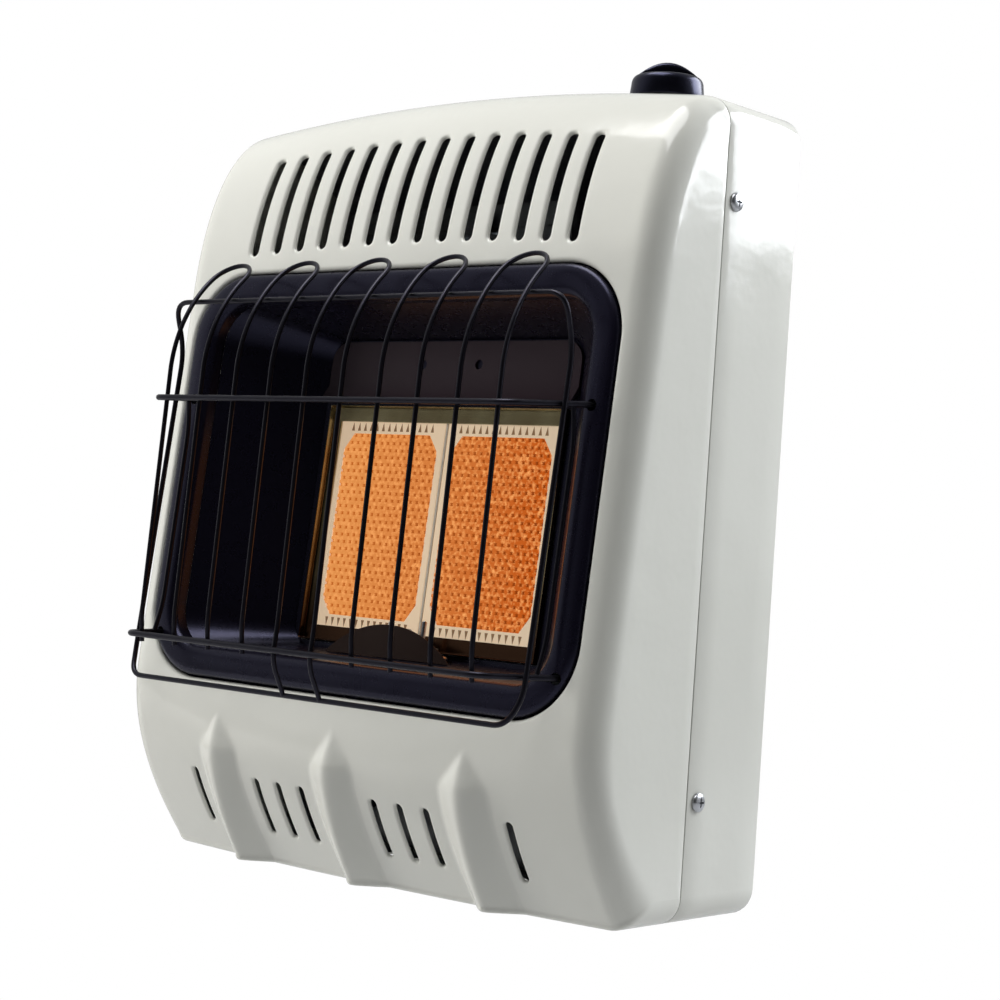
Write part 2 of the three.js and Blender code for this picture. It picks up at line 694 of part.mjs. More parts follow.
function wireGuard() {
  const legX = i => (i - (2 * hoopCount - 1) / 2) * legPitch;
  const weld = 0.6;             // how deep the welds press a leg into a bar
  const legDepth = z => upperBarDepth + (lowerBarDepth - upperBarDepth)
    * (upperBarZ - z) / (upperBarZ - lowerBarZ) + barWire + legWire - weld;
  const bendSteps = 4;
  const endSteps = 8;
  const hoops = Array.from({ length: hoopCount }, (_, i) => {
    const left = legX(2 * i);
    const middle = i === (hoopCount - 1) / 2;
    const foot = middle
      ? [[0, ringBottomDepth, ringBottomZ], [0, legDepth(lowerBarZ) - 1, lowerBarZ - 6]]
      : [[0, legDepth(lowerBarZ) + 3, lowerBarZ - 4]];
    const lean = arc(0, 0, hoopBend, 0, hoopLean, bendSteps).map(p =>
      [0, legDepth(hoopStartZ) + hoopBend - p.x, hoopStartZ + p.y]);
    const up = bends([...foot, [0, legDepth(lowerBarZ + 12), lowerBarZ + 12], lean[0]], 16, 3)
      .map(p => p.toArray());
    const leg = [...up, ...lean.slice(1)];
    const [, endDepth, endZ] = leg[leg.length - 1];
    const end = arc(0, 0, legPitch / 2, 2 * quarter, 0, endSteps).slice(1, -1).map(p =>
      [p.x, endDepth + p.y * Math.sin(hoopLean), endZ + p.y * Math.cos(hoopLean)]);
    const path = [
      ...leg.map(([, d, z]) => [-legPitch / 2, d, z]),
      ...end,
      ...leg.map(([, d, z]) => [legPitch / 2, d, z]).reverse(),
    ];
    return wire(path.map(([x, d, z]) => new THREE.Vector3(left + legPitch / 2 + x, d, z)), legWire);
  });
  const bar = (z, depth, holeZ) => {
    const half = [[barHalfWidth, depth, z], [guardHoleX - 1, -4, holeZ], [guardHoleX, 5, holeZ]];
    return wire(bends([...mirrored(half).reverse(), ...half], 9, 3), barWire);
  };
  const upperBar = bar(upperBarZ, upperBarDepth, upperBarZ + barHoleRise);
  const lowerBar = bar(lowerBarZ, lowerBarDepth, lowerBarZ + barHoleRise / 2);
  const overlap = 1;            // the two halves of the ring run this far into each other
  const ringHalf = [
    [-overlap, ringBottomDepth, ringBottomZ], [ringHalfWidth - 6, ringBottomDepth + 2, ringBottomZ],
    [ringHalfWidth, -23, ringBottomZ + 16], [ringHalfWidth, ringKneeDepth, ringKneeZ],
    [ringHalfWidth, ringTopDepth, ringTopZ], [-overlap, ringTopDepth, ringTopZ],
  ];
  const ringWire = barWire - 0.3;
  const sideX = ringHalfWidth - 1.5;
  const side = [
    [sideX, -12, upperBarZ + barHoleRise], [sideX + 0.5, -8, upperBarZ - 12],
    [sideX, -8, lowerBarZ + 22], [sideX - 0.5, -12, lowerBarZ + barHoleRise / 2],
  ];
  return fuse(...hoops, upperBar, lowerBar,
    wire(bends(ringHalf, 12, 3), ringWire), wire(bends(mirrored(ringHalf), 12, 3), ringWire),
    wire(bends(side, 12, 3), legWire), wire(bends(mirrored(side), 12, 3), legWire));
}

// ---------------------------------------------------------------- burner

const gasketWidth = 3;
const plenumInside = burnerInside + gasketWidth + 2 * clearance;
const plenumHalf = plenumInside + plenumWall;
const plenumInsideHeight = plaqueHeight / 2 + gasketWidth + 2 * clearance;
const plenumHalfHeight = plenumInsideHeight + plenumWall;
const plenumFront = plaqueFace - 0.3;
const plenumRear = plenumFront + plenumDepth;
const ledgeDepth = plaqueFace + plaqueThickness + clearance;
const injectorPlateX = halfWidth - injectorSide;

function burnerPlenum() {
  const body = box(-plenumHalf, plenumHalf, plenumFront, plenumRear,
    burnerZ - plenumHalfHeight, burnerZ + plenumHalfHeight);
  const seat = box(-plenumInside, plenumInside, plenumFront - 5, ledgeDepth,
    burnerZ - plenumInsideHeight, burnerZ + plenumInsideHeight);
  const chamber = box(-burnerInside + 4, burnerInside - 4, ledgeDepth - 2, plenumRear - plenumWall,
    burnerZ - plaqueHeight / 2 + 4, burnerZ + plaqueHeight / 2 - 4);
  const inlet = rod(venturiRadius - 2, burnerInside - 30, burnerInside + 20, 16).rotateY(quarter)
    .translate(0, venturiDepth, venturiZ);
  return cut(body, seat, chamber, inlet);
}

function plaque(side) {
  const near = plaqueGap / 2;
  const xs = [near, near + plaqueWidth].map(x => side * x);
  return alongY(roundedRect(Math.min(...xs), Math.max(...xs), burnerZ - plaqueHeight / 2,
    burnerZ + plaqueHeight / 2, 1, 2), plaqueFace, plaqueFace + plaqueThickness);
}

function plaqueGasket() {
  const outline = roundedRect(-plenumInside + clearance, plenumInside - clearance,
    burnerZ - plenumInsideHeight + clearance, burnerZ + plenumInsideHeight - clearance, 0.2, 1);
  const hole = side => {
    const xs = [plaqueGap / 2 - clearance, burnerInside + clearance].map(x => side * x);
    return roundedRect(Math.min(...xs), Math.max(...xs), burnerZ - plaqueHeight / 2 - clearance,
      burnerZ + plaqueHeight / 2 + clearance, 0.2, 1).reverse();
  };
  return alongY(outline, plaqueFace, plaqueFace + plaqueThickness - 1, [hole(-1), hole(1)]);
}

function reflectorFrame() {
  const z0 = burnerZ - frameHalfHeight;
  const z1 = burnerZ + frameHalfHeight;
  const rear = plenumFront - clearance;
  const front = plaqueFace - frameLip - 1;
  const body = box(-frameHalfWidth, frameHalfWidth, front, rear, z0, z1);
  const tray = box(-frameHalfWidth + 1, frameHalfWidth - 1, front - 5, rear - 1, z0 + 1, z1 - 1);
  const window = box(-burnerInside + 0.5, burnerInside - 0.5, front - 5, rear + 5,
    burnerZ - plaqueHeight / 2 + 0.5, burnerZ + plaqueHeight / 2 - 0.5);
  return cut(body, tray, window);
}

function venturi() {
  const start = plenumHalf + clearance;
  const end = injectorPlateX - injectorGap;
  const throat = [start + 0.35 * (end - start), end - 0.3 * (end - start)];
  const r = venturiRadius;
  return turned([
    [r - 3.4, start], [r + 1, start], [r + 1, start + 2], [r - 2, start + 5], [r - 2, throat[0]],
    [r - 2, throat[1]], [r + 1.5, end], [r + 0.3, end], [r - 3.4, throat[1]], [r - 3.4, start],
  ], 16).rotateY(quarter).translate(0, venturiDepth, venturiZ);
}

function injectorBracket() {
  const behind = plenumRear + clearance;
  const outline = folded([[60, behind], [injectorPlateX, behind], [injectorPlateX, behind - 27]], sheet)
    .map(p => new THREE.Vector2(p.x, p.y));
  const hole = rod(5.3, injectorPlateX - 10, injectorPlateX + 10, 12).rotateY(quarter)
    .translate(0, venturiDepth, venturiZ);
  return cut(alongZ(outline, venturiZ - 13, venturiZ + 13), hole);
}

const injectorTip = injectorPlateX - 12;
const injectorEnd = injectorPlateX + 14;

function injectorSpud() {
  const x = injectorPlateX;
  return turned([
    [0, injectorTip], [2, injectorTip], [4, injectorTip + 3], [4.9, x - 2], [4.9, x + sheet + 0.6],
    [7, x + sheet + 0.6], [7, x + 9], [5, x + 9], [5, injectorEnd], [0, injectorEnd],
  ], 12).rotateY(quarter).translate(0, venturiDepth, venturiZ);
}

function burnerBracket(side) {
  const wall = plenumHalf + clearance;
  const foot = wall + 16;
  const back = panelFront - clearance;
  const outline = folded([[wall, burnerBracketFront], [wall, back], [foot, back]], -sheet)
    .map(p => new THREE.Vector2(side * p.x, p.y));
  return alongZ(outline, burnerBracketBottom, burnerBracketTop);
}

// ---------------------------------------------------------------- pilot

const shieldDepth = 40;
const shieldCentreX = -5;
const pilotScrewDepth = 45.5;
const pilotScrewXs = [-44, 36];
const floorAt = depth => openingBottom + bandWidth
  + (fireboxBottom - openingBottom - bandWidth) * (depth - linerFront) / (fireboxDepth - linerFront);

const tabDepth = shieldDepth + 9;
const tabZ = floorAt(tabDepth) + clearance;

function pilotShield() {
  const floor = floorAt(shieldDepth + 1) + clearance;
  const radius = 76;
  const rise = 20;
  const reach = Math.acos((radius - rise) / radius);
  const dome = arc(shieldCentreX, floor + rise - radius, radius, quarter - reach, quarter + reach, 12);
  const plate = alongY(dome, shieldDepth, shieldDepth + 1);
  const tabs = pilotScrewXs.map(x => box(x - 5, x + 5, shieldDepth + 0.5, tabDepth, tabZ, tabZ + 1));
  const holes = pilotScrewXs.map(x => rod(1.9, tabZ - 5, tabZ + 5, 8).translate(x, pilotScrewDepth, 0));
  return cut(fuse(plate, ...tabs), ...holes);
}

const pilotPlateZ = fireboxBottom + 5;

function pilotBracket() {
  const front = shieldDepth + 3.5;
  const rear = plaqueFace - frameLip - 3;
  const foot = floorAt(rear) + clearance;
  const outline = folded([[29, foot], [24, foot], [24, pilotPlateZ], [-23, pilotPlateZ]], -sheet);
  const holes = [0, pilotPitch, -pilotPitch].map((x, i) =>
    rod([4.4, 3.1, 3.6][i], pilotPlateZ - 5, pilotPlateZ + 5, 10).translate(x, pilotDepth, 0));
  return cut(alongY(outline, front, rear), ...holes);
}

const pilotDepth = 50;
const pilotPitch = 14;          // thermocouple and electrode stand this far from the pilot
const pilotBottom = fireboxBottom - 12;

function pilotBurner() {
  return turned([
    [0, pilotBottom], [3, pilotBottom], [3, pilotBottom + 5], [4, pilotBottom + 6], [4, pilotPlateZ + 3],
    [4.8, pilotPlateZ + 3], [4.8, pilotPlateZ + 9], [3, pilotPlateZ + 11], [0, pilotPlateZ + 11],
  ], 10).translate(0, pilotDepth, 0);
}

function thermocoupleTip() {
  return turned([
    [0, pilotBottom], [2.6, pilotBottom], [2.6, pilotPlateZ + 4], [1.6, pilotPlateZ + 6],
    [1.6, pilotPlateZ + 16], [0, pilotPlateZ + 17],
  ], 8).translate(pilotPitch, pilotDepth, 0);
}

function igniterElectrode() {
  return turned([
    [0, pilotBottom + 2], [3.1, pilotBottom + 2], [3.1, pilotPlateZ + 6], [1.1, pilotPlateZ + 7],
    [1.1, pilotPlateZ + 14], [0, pilotPlateZ + 14],
  ], 8).translate(-pilotPitch, pilotDepth, 0);
}

// ---------------------------------------------------------------- valve, stem and knob

const portOut = { x: knobX + 14, y: knobY - 9 };
const portIn = { x: knobX - 14, y: knobY - 5 };
const portPilot = { x: knobX + 14, y: knobY + 10 };
const bossTop = valveTop + 8;
const igniterZ = valveTop - 14;
const plugFloor = valveBottom + 12;
const stemHole = plugFloor + 8;

function gasValve() {
  const outline = roundedRect(knobX - valveHalfWidth, knobX + valveHalfWidth,
    knobY - valveHalfDepth, knobY + valveHalfDepth, 5, 2);
  const body = alongZ(outline, valveBottom, valveTop);
  const boss = rod(plugRadius + 6, valveTop - 2, bossTop, 16).translate(knobX, knobY, 0);
  const ports = [portOut, portIn, portPilot].map(({ x, y }) =>
    rod(7, valveBottom - 7, valveBottom + 2, 6).translate(x, y, 0));
  const igniter = rod(6, -8, 1, 10).rotateY(quarter).translate(knobX - valveHalfWidth, knobY, igniterZ);
  const bore = rod(plugRadius + runningFit, plugFloor, bossTop + 5, 32).translate(knobX, knobY, 0);
  const screwHoles = hatScrewZs(valveBottom + 2, valveTop - 4).map(z =>
    rod(1.9, -8, 8, 8).rotateX(quarter).translate(knobX, knobY + valveHalfDepth, z));
  return cut(fuse(body, boss, ...ports, igniter), bore, ...screwHoles);
}

// The plug turns in the valve. The stem slides in its flatted bore and turns it.
const flat = 2.4;
const plugTop = bossTop - 1;

function flatted(radius, z0, z1, sides) {
  const round = solid(rod(radius, z0, z1, sides));
  const keep = solid(box(-radius - 1, radius + 1, -radius - 1, flat + radius - stemRadius, z0 - 1, z1 + 1));
  return geometryOf(round.intersect(keep)).translate(knobX, knobY, 0);
}

function valvePlug() {
  const body = rod(plugRadius, plugFloor + clearance, plugTop, 32).translate(knobX, knobY, 0);
  return cut(body, flatted(stemRadius + runningFit, stemHole, plugTop + 5, 16));
}

const knobSocket = 11;
const knobRest = topAt(knobX - knobRadius) + knobTravel + clearance;    // the knob is out
const knobTop = knobRest + knobDrum;

function valveStem() {
  return flatted(stemRadius, stemHole + knobTravel + 1, knobRest + knobSocket, 16);
}

function controlKnob() {
  const r = knobRadius;
  const drum = turned([
    [0, knobRest], [r - 0.6, knobRest], [r, knobRest + 0.8], [r - 0.9, knobTop - 3.6],
    [r - 1.8, knobTop - 1.2], [r - 3.6, knobTop], [0, knobTop + 0.6],
  ], 32).translate(knobX, knobY, 0);
  const reach = r - 3;
  const ridge = new THREE.QuadraticBezierCurve(
    new THREE.Vector2(-reach, knobTop - 1.5), new THREE.Vector2(0, knobTop + 2 * gripHeight + 1.5),
    new THREE.Vector2(reach, knobTop - 1.5));
  const grip = alongX(ridge.getPoints(12), -gripHalfWidth, gripHalfWidth)
    .rotateZ(gripTurn - quarter).translate(knobX, knobY, 0);
  const socket = flatted(stemRadius + clearance, knobRest - 5, knobRest + knobSocket + clearance, 16);
  return cut(fuse(drum, grip), socket);
}

// A hat section on the back panel that carries the valve or the regulator, with its two screw holes.
function hatBracket(x, width, face, z0, z1) {
  const foot = panelFront - clearance;
  const section = folded([[foot, z0 - 9], [foot, z0], [face, z0], [face, z1], [foot, z1], [foot, z1 + 9]]);
  const holes = hatScrewZs(z0, z1).map(z => rod(1.9, -4, 4, 8).rotateX(quarter).translate(x, face, z));
  return cut(alongX(section, x - width / 2, x + width / 2), ...holes);
}

function hatScrewZs(z0, z1) {
  return [z0 + 8, z1 - 8];
}

// ---------------------------------------------------------------- regulator and gas line

const regulatorTop = -155;
const regulatorBottom = -204;

function gasRegulator() {
  const block = alongZ(roundedRect(inletX - 14, inletX + 14, inletY - 12, inletY + 13, 3, 2),
    regulatorBottom, regulatorTop);
  const middle = (regulatorTop + regulatorBottom) / 2;
  const dish = turned([
    [0, 0], [17, 0], [22, 4], [26, 4], [26, 8], [22, 8], [16, 15], [0, 15],
  ], 20).rotateX(quarter).translate(inletX, inletY - 11, middle);
  const port = rod(8, regulatorTop - 1, regulatorTop + 8, 6).translate(inletX, inletY, 0);
  const screwHoles = hatScrewZs(regulatorBottom + 2, regulatorTop - 4).map(z =>
    rod(1.9, -8, 8, 8).rotateX(quarter).translate(inletX, inletY + 13, z));
  return cut(fuse(block, dish, port), ...screwHoles);
}

function regulatorCap() {
  const middle = (regulatorTop + regulatorBottom) / 2;
  return turned([[0, 0], [9, 0], [9, 6], [7.5, 9], [0, 9]], 12).rotateX(quarter)
    .translate(inletX, inletY - 26 - clearance, middle);
}

function inletFitting() {
  const top = regulatorBottom - clearance;
  return turned([
    [6, inletEnd], [inletRadius, inletEnd], [inletRadius, top - 6], [11, top - 6], [11, top], [6, top],
    [6, inletEnd],
  ], 12).translate(inletX, inletY, 0);
}

function screw(headRadius, headHeight, shankRadius, length) {
  return turned([
    [0, -length], [shankRadius, -length], [shankRadius, 0], [headRadius, 0],
    [headRadius * 0.96, headHeight * 0.5], [headRadius * 0.6, headHeight], [0, headHeight],
  ], 8);
}

// ---------------------------------------------------------------- assembly

piece(heater, 'rear_cabinet', rearCabinet(), enamel);
piece(heater, 'back_panel', backPanel(), galvanised);
piece(heater, 'wall_bracket', wallBracket(), galvanised);
piece(heater, 'front_cover', frontCover(), enamel);

piece(slope, 'front_bezel', frontBezel(), blackEnamel);
piece(slope, 'firebox_liner', fireboxLiner(), blackEnamel);
piece(slope, 'firebox_back_plate', fireboxBackPlate(), blackEnamel);
piece(slope, 'upper_deflector', upperDeflector(), blackEnamel);
piece(slope, 'wire_guard', wireGuard(), blackEnamel);

piece(slope, 'burner_plenum', burnerPlenum(), castMetal);
piece(slope, 'plaque_left', plaque(-1), ceramic);
piece(slope, 'plaque_right', plaque(1), ceramic);
piece(slope, 'plaque_gasket', plaqueGasket(), fibre);
piece(slope, 'reflector_frame', reflectorFrame(), brightSteel);
piece(slope, 'venturi_tube', venturi(), castMetal);
piece(slope, 'injector_bracket', injectorBracket(), steel);
piece(slope, 'injector', injectorSpud(), brass);
piece(heater, 'burner_bracket_left', burnerBracket(-1), galvanised);
piece(heater, 'burner_bracket_right', burnerBracket(1), galvanised);

piece(slope, 'pilot_shield', pilotShield(), blackEnamel);
piece(slope, 'pilot_bracket', pilotBracket(), steel);
piece(slope, 'pilot_burner', pilotBurner(), steel);
piece(slope, 'thermocouple', thermocoupleTip(), steel);
piece(slope, 'igniter_electrode', igniterElectrode(), whiteCeramic);

piece(heater, 'gas_valve', gasValve(), castMetal);
piece(heater, 'valve_plug', valvePlug(), brass);
piece(heater, 'valve_stem', valveStem(), steel);
piece(heater, 'control_knob', controlKnob(), blackPlastic);
const valveBack = knobY + valveHalfDepth + clearance + sheet;
const valveHat = [valveBottom + 2, valveTop - 4];
piece(heater, 'valve_bracket', hatBracket(knobX, 42, valveBack, valveHat[0], valveHat[1]), galvanised);
const shieldFoot = panelFront - clearance - sheet;
piece(heater, 'valve_shield', alongZ(folded([
  [valveShieldX, -76], [valveShieldX, shieldFoot], [valveShieldX + 12, shieldFoot],
]), 120, 236), galvanised);
piece(heater, 'top_baffle', alongX(folded([
  [panelFront - clearance, 186], [panelFront - clearance, 202], [-74, 234],
]), -172, valveShieldX - 3), galvanised);

piece(heater, 'regulator', gasRegulator(), castMetal);
piece(heater, 'regulator_cap', regulatorCap(), blackPlastic);
const regulatorBack = inletY + 13 + clearance + sheet;
const regulatorHat = [regulatorBottom + 2, regulatorTop - 4];
piece(heater, 'regulator_bracket',
  hatBracket(inletX, 28, regulatorBack, regulatorHat[0], regulatorHat[1]), galvanised);
piece(heater, 'inlet_fitting', inletFitting(), brass);

const portFace = valveBottom - 7 - clearance;
const list = v => [v.x, v.y, v.z];
piece(heater, 'inlet_tube', wire(bends([
  [inletX, inletY, regulatorTop + 8 + clearance], [inletX, inletY, 100],
  [portIn.x, portIn.y, 130], [portIn.x, portIn.y, portFace],
], 16), 4.8, 8), steel);
const injectorPort = slopePoint(injectorEnd + clearance, venturiDepth, venturiZ);
piece(heater, 'burner_tube', wire(bends([
  list(injectorPort), [injectorPort.x + 12, injectorPort.y, injectorPort.z],
  [injectorPort.x + 12, injectorPort.y + 18, 60], [portOut.x, portOut.y, 125],
  [portOut.x, portOut.y, portFace],
], 10), 4, 8), steel);
const pilotPort = slopePoint(0, pilotDepth, pilotBottom - clearance);
piece(heater, 'pilot_tube', wire(bends([
  list(pilotPort), list(slopePoint(0, pilotDepth, pilotBottom - 22)), [168, -100, pilotPort.z - 28],
  [168, -26, pilotPort.z - 10], [168, -26, 110], [portPilot.x, portPilot.y, 132],
  [portPilot.x, portPilot.y, portFace],
], 12), 2, 6), steel);
const thermoPort = slopePoint(pilotPitch, pilotDepth, pilotBottom - clearance);
piece(heater, 'thermocouple_lead', wire(bends([
  list(thermoPort), list(slopePoint(pilotPitch, pilotDepth, pilotBottom - 12)),
  [176, -100, thermoPort.z - 14], [176, -34, thermoPort.z + 4], [176, -34, 186],
  [knobX + valveHalfWidth + clearance, -34, 186],
], 12), 1.5, 6), steel);
const sparkX = knobX - 31;
const sparkPort = slopePoint(-pilotPitch, pilotDepth, pilotBottom + 2 - clearance);
piece(heater, 'igniter_lead', wire(bends([
  list(sparkPort), list(slopePoint(-pilotPitch, pilotDepth, pilotBottom - 16)),
  [-120, -100, sparkPort.z - 20], [-120, -24, sparkPort.z], [-120, -24, 106],
  [sparkX - 3.5, -24, 108], [sparkX - 3.5, knobY, 124],
  [sparkX - 3.5, knobY, igniterZ], [sparkX - clearance, knobY, igniterZ],
], 12), 2, 6), rubberLead);

const seatGap = 0.2;
[-1, 1].flatMap(side => sideScrewZs.map(z => [side, z])).forEach(([side, z], i) => {
  const mesh = piece(heater, `side_screw_${i + 1}`, screw(5.5, 2.6, 1.6, 7), steel);
  mesh.rotation.y = side * quarter;
  mesh.position.set(side * (halfWidth + seatGap), sideScrewY, z);
});
backScrewXs.flatMap(x => backScrewZs.map(z => [x, z])).forEach(([x, z], i) => {
  const mesh = piece(heater, `back_screw_${i + 1}`, screw(4.5, 2.4, 1.8, 7), steel);
  mesh.rotation.x = -quarter;
  mesh.position.set(x, rearY + seatGap, z);
});
const hatScrews = [
  ...hatScrewZs(...valveHat).map(z => ['valve_screw', knobX, valveBack, z]),
  ...hatScrewZs(...regulatorHat).map(z => ['regulator_screw', inletX, regulatorBack, z]),
];
hatScrews.forEach(([name, x, y, z], i) => {
  const mesh = piece(heater, `${name}_${i % 2 + 1}`, screw(3.6, 2, 1.5, 7), steel);
  mesh.rotation.x = -quarter;
  mesh.position.set(x, y + seatGap, z);
});
pilotScrewXs.forEach((x, i) => {
  const mesh = piece(slope, `pilot_shield_screw_${i + 1}`, screw(3.5, 2, 1.5, 5), steel);
  mesh.position.set(x, pilotScrewDepth, tabZ + 1 + seatGap);
});

export default heater;
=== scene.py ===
# %% [markdown]
# # A wall mounted gas heater
#
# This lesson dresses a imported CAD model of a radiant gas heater. The CAD model says where every
# piece is and how the knob moves. Blender adds what the eye wants: a smoothly pressed enamel cover,
# rounded sheet edges, round wire, glowing honeycomb plaques and the right steel and brass. Blender
# works in metres. +X is to the right as the viewer sees it, +Y runs into the wall and +Z is up.

# %% Load the frame
import bisect
import math
import bmesh
import bpy
import json
from mathutils import Matrix, Vector

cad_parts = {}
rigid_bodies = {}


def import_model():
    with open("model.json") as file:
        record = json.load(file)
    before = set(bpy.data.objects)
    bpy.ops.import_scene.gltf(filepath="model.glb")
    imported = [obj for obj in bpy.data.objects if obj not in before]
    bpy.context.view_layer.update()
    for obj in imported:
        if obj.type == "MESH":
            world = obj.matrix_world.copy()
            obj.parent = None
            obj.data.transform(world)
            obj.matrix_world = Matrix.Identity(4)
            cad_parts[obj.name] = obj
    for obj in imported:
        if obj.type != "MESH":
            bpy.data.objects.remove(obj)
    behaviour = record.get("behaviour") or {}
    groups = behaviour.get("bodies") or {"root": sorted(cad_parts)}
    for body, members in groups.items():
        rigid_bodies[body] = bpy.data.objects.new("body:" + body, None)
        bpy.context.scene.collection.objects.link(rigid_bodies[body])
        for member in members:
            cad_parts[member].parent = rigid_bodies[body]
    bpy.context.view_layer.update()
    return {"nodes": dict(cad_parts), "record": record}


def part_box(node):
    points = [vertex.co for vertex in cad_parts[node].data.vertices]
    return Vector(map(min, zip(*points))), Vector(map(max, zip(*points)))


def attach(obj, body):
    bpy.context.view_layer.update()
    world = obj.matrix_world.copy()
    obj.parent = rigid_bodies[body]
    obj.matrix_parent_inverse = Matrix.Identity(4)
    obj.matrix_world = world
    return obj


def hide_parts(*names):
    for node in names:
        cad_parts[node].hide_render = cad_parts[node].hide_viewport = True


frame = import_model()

NODES = frame["nodes"]
SLOT_OF = {part["node"]: part["material_slot"] for part in frame["record"]["subparts"]}
BODY_OF = {
    node: body for body, nodes in frame["record"]["behaviour"]["bodies"].items() for node in nodes
}

# %% [markdown]
# The camera comes first, because everything else is judged through it. It was fitted to the
# photograph: the heater is seen from the right and from slightly below, and the picture is rolled
# a little, so that the heater seems to lean back.

# %% Camera
MM = 0.001
CAMERA_PLACE = Vector((902.5, -1085.0, -183.9)) * MM
AZIMUTH, ELEVATION, ROLL = (math.radians(a) for a in (40.69, -0.90, 3.77))
LENS_MM = 78.748
SENSOR_MM = 36.0


def aimed_camera(place, azimuth, elevation, roll):
    forward = Vector((
        -math.sin(azimuth) * math.cos(elevation),
        math.cos(azimuth) * math.cos(elevation),
        -math.sin(elevation),
    ))
    level = Vector((math.cos(azimuth), math.sin(azimuth), 0))
    above = level.cross(forward)
    right = level * math.cos(roll) + above * math.sin(roll)
    up = above * math.cos(roll) - level * math.sin(roll)
    turn = Matrix((right, up, -forward)).transposed().to_4x4()
    bpy.ops.object.camera_add()
    camera = bpy.context.object
    camera.name = "photo_camera"
    camera.matrix_world = Matrix.Translation(place) @ turn
    camera.data.lens = LENS_MM
    camera.data.sensor_width = SENSOR_MM
    camera.data.clip_start = 0.01
    return camera


bpy.context.scene.camera = aimed_camera(CAMERA_PLACE, AZIMUTH, ELEVATION, ROLL)
print("camera at", [round(c, 3) for c in CAMERA_PLACE])

# %% [markdown]
# The studio is plain: a pale floor far below and three large soft lights, above, on the right and
# on the left. Gloss enamel shows its lights as broad soft reflections, so small lamps would leave
# hard spots on it. The surround that lights the piece is grey and darker towards the viewer's right,
# as a studio behind the camera is, but the camera itself sees pure white behind the heater, as a
# cut-out picture has it. The Light Path node tells the two kinds of ray apart, in the world and in
# the floor.

# %% Studio
FLOOR_BELOW = 0.75
FLOOR_SIZE = 60
SURROUND = 0.46                 # light from all round
SURROUND_DARK = 0.02            # and from behind the camera
DARK_SIDE = Vector((0.60, -0.80, -0.15)).normalized()
FALL_START, FALL_END = -0.1, 0.7  # where the fall to the dark side begins and ends, as a cosine
WHITE, FLOOR_GREY = (1, 1, 1, 1), (0.42, 0.42, 0.42, 1)


def white_for_camera(tree, other):
    """Plain white where the camera looks straight at it, and the other shader for all other rays."""
    path = tree.nodes.new("ShaderNodeLightPath")
    kind = "ShaderNodeBackground" if tree.nodes.get("World Output") else "ShaderNodeEmission"
    white = tree.nodes.new(kind)
    white.inputs["Color"].default_value = WHITE
    white.inputs["Strength"].default_value = 1
    mix = tree.nodes.new("ShaderNodeMixShader")
    tree.links.new(path.outputs["Is Camera Ray"], mix.inputs[0])
    tree.links.new(other, mix.inputs[1])
    tree.links.new(white.outputs[0], mix.inputs[2])
    return mix.outputs[0]


def pale_floor():
    bpy.ops.mesh.primitive_plane_add(size=FLOOR_SIZE, location=(0, 0, -FLOOR_BELOW))
    floor = bpy.context.object
    floor.name = "studio_floor"
    paint = bpy.data.materials.new("pale_floor")
    paint.use_nodes = True
    tree = paint.node_tree
    shader = tree.nodes["Principled BSDF"]
    shader.inputs["Base Color"].default_value = FLOOR_GREY
    shader.inputs["Roughness"].default_value = 0.9
    tree.links.new(white_for_camera(tree, shader.outputs[0]), tree.nodes["Material Output"].inputs[0])
    floor.data.materials.append(paint)


def soft_light(name, place, target, width, height, power, color=(1, 1, 1)):
    bpy.ops.object.light_add(type="AREA", location=place)
    light = bpy.context.object
    light.name = name
    light.data.shape = "RECTANGLE"
    light.data.size = width
    light.data.size_y = height
    light.data.energy = power
    light.data.color = color
    aim = Vector(target) - Vector(place)
    light.rotation_euler = aim.to_track_quat("-Z", "Y").to_euler()
    return light


def surround():
    """World light that falls off smoothly towards the dark side."""
    world = bpy.data.worlds.new("studio_surround")
    bpy.context.scene.world = world
    world.use_nodes = True
    tree = world.node_tree
    place = tree.nodes.new("ShaderNodeTexCoord")
    towards = tree.nodes.new("ShaderNodeVectorMath")
    towards.operation = "DOT_PRODUCT"
    towards.inputs[1].default_value = DARK_SIDE
    tree.links.new(place.outputs["Generated"], towards.inputs[0])
    fall = tree.nodes.new("ShaderNodeMapRange")
    fall.interpolation_type = "SMOOTHSTEP"
    fall.inputs["From Min"].default_value = FALL_START
    fall.inputs["From Max"].default_value = FALL_END
    fall.inputs["To Min"].default_value = SURROUND
    fall.inputs["To Max"].default_value = SURROUND_DARK
    tree.links.new(towards.outputs["Value"], fall.inputs["Value"])
    back = tree.nodes["Background"]
    back.inputs["Color"].default_value = (0.97, 0.985, 1, 1)
    tree.links.new(fall.outputs[0], back.inputs["Strength"])
    tree.links.new(white_for_camera(tree, back.outputs[0]), tree.nodes["World Output"].inputs[0])


pale_floor()
soft_light("top_softbox", (-0.2, -0.6, 2.0), (0, -0.1, -0.1), 1.8, 1.2, 38)
soft_light("right_softbox", (1.45, 2.15, 1.25), (0.1, -0.1, -0.1), 2.3, 1.7, 98, (0.93, 0.96, 1))
fill = soft_light("left_softbox", (-2.6, -1.35, 0.1), (0, -0.1, 0), 1.6, 2.6, 82, (1, 0.985, 0.96))
fill.visible_glossy = False     # it fills the front without a reflection of its own
surround()
bpy.context.scene.view_settings.view_transform = "Standard"
print("three soft lights in a surround of", SURROUND)
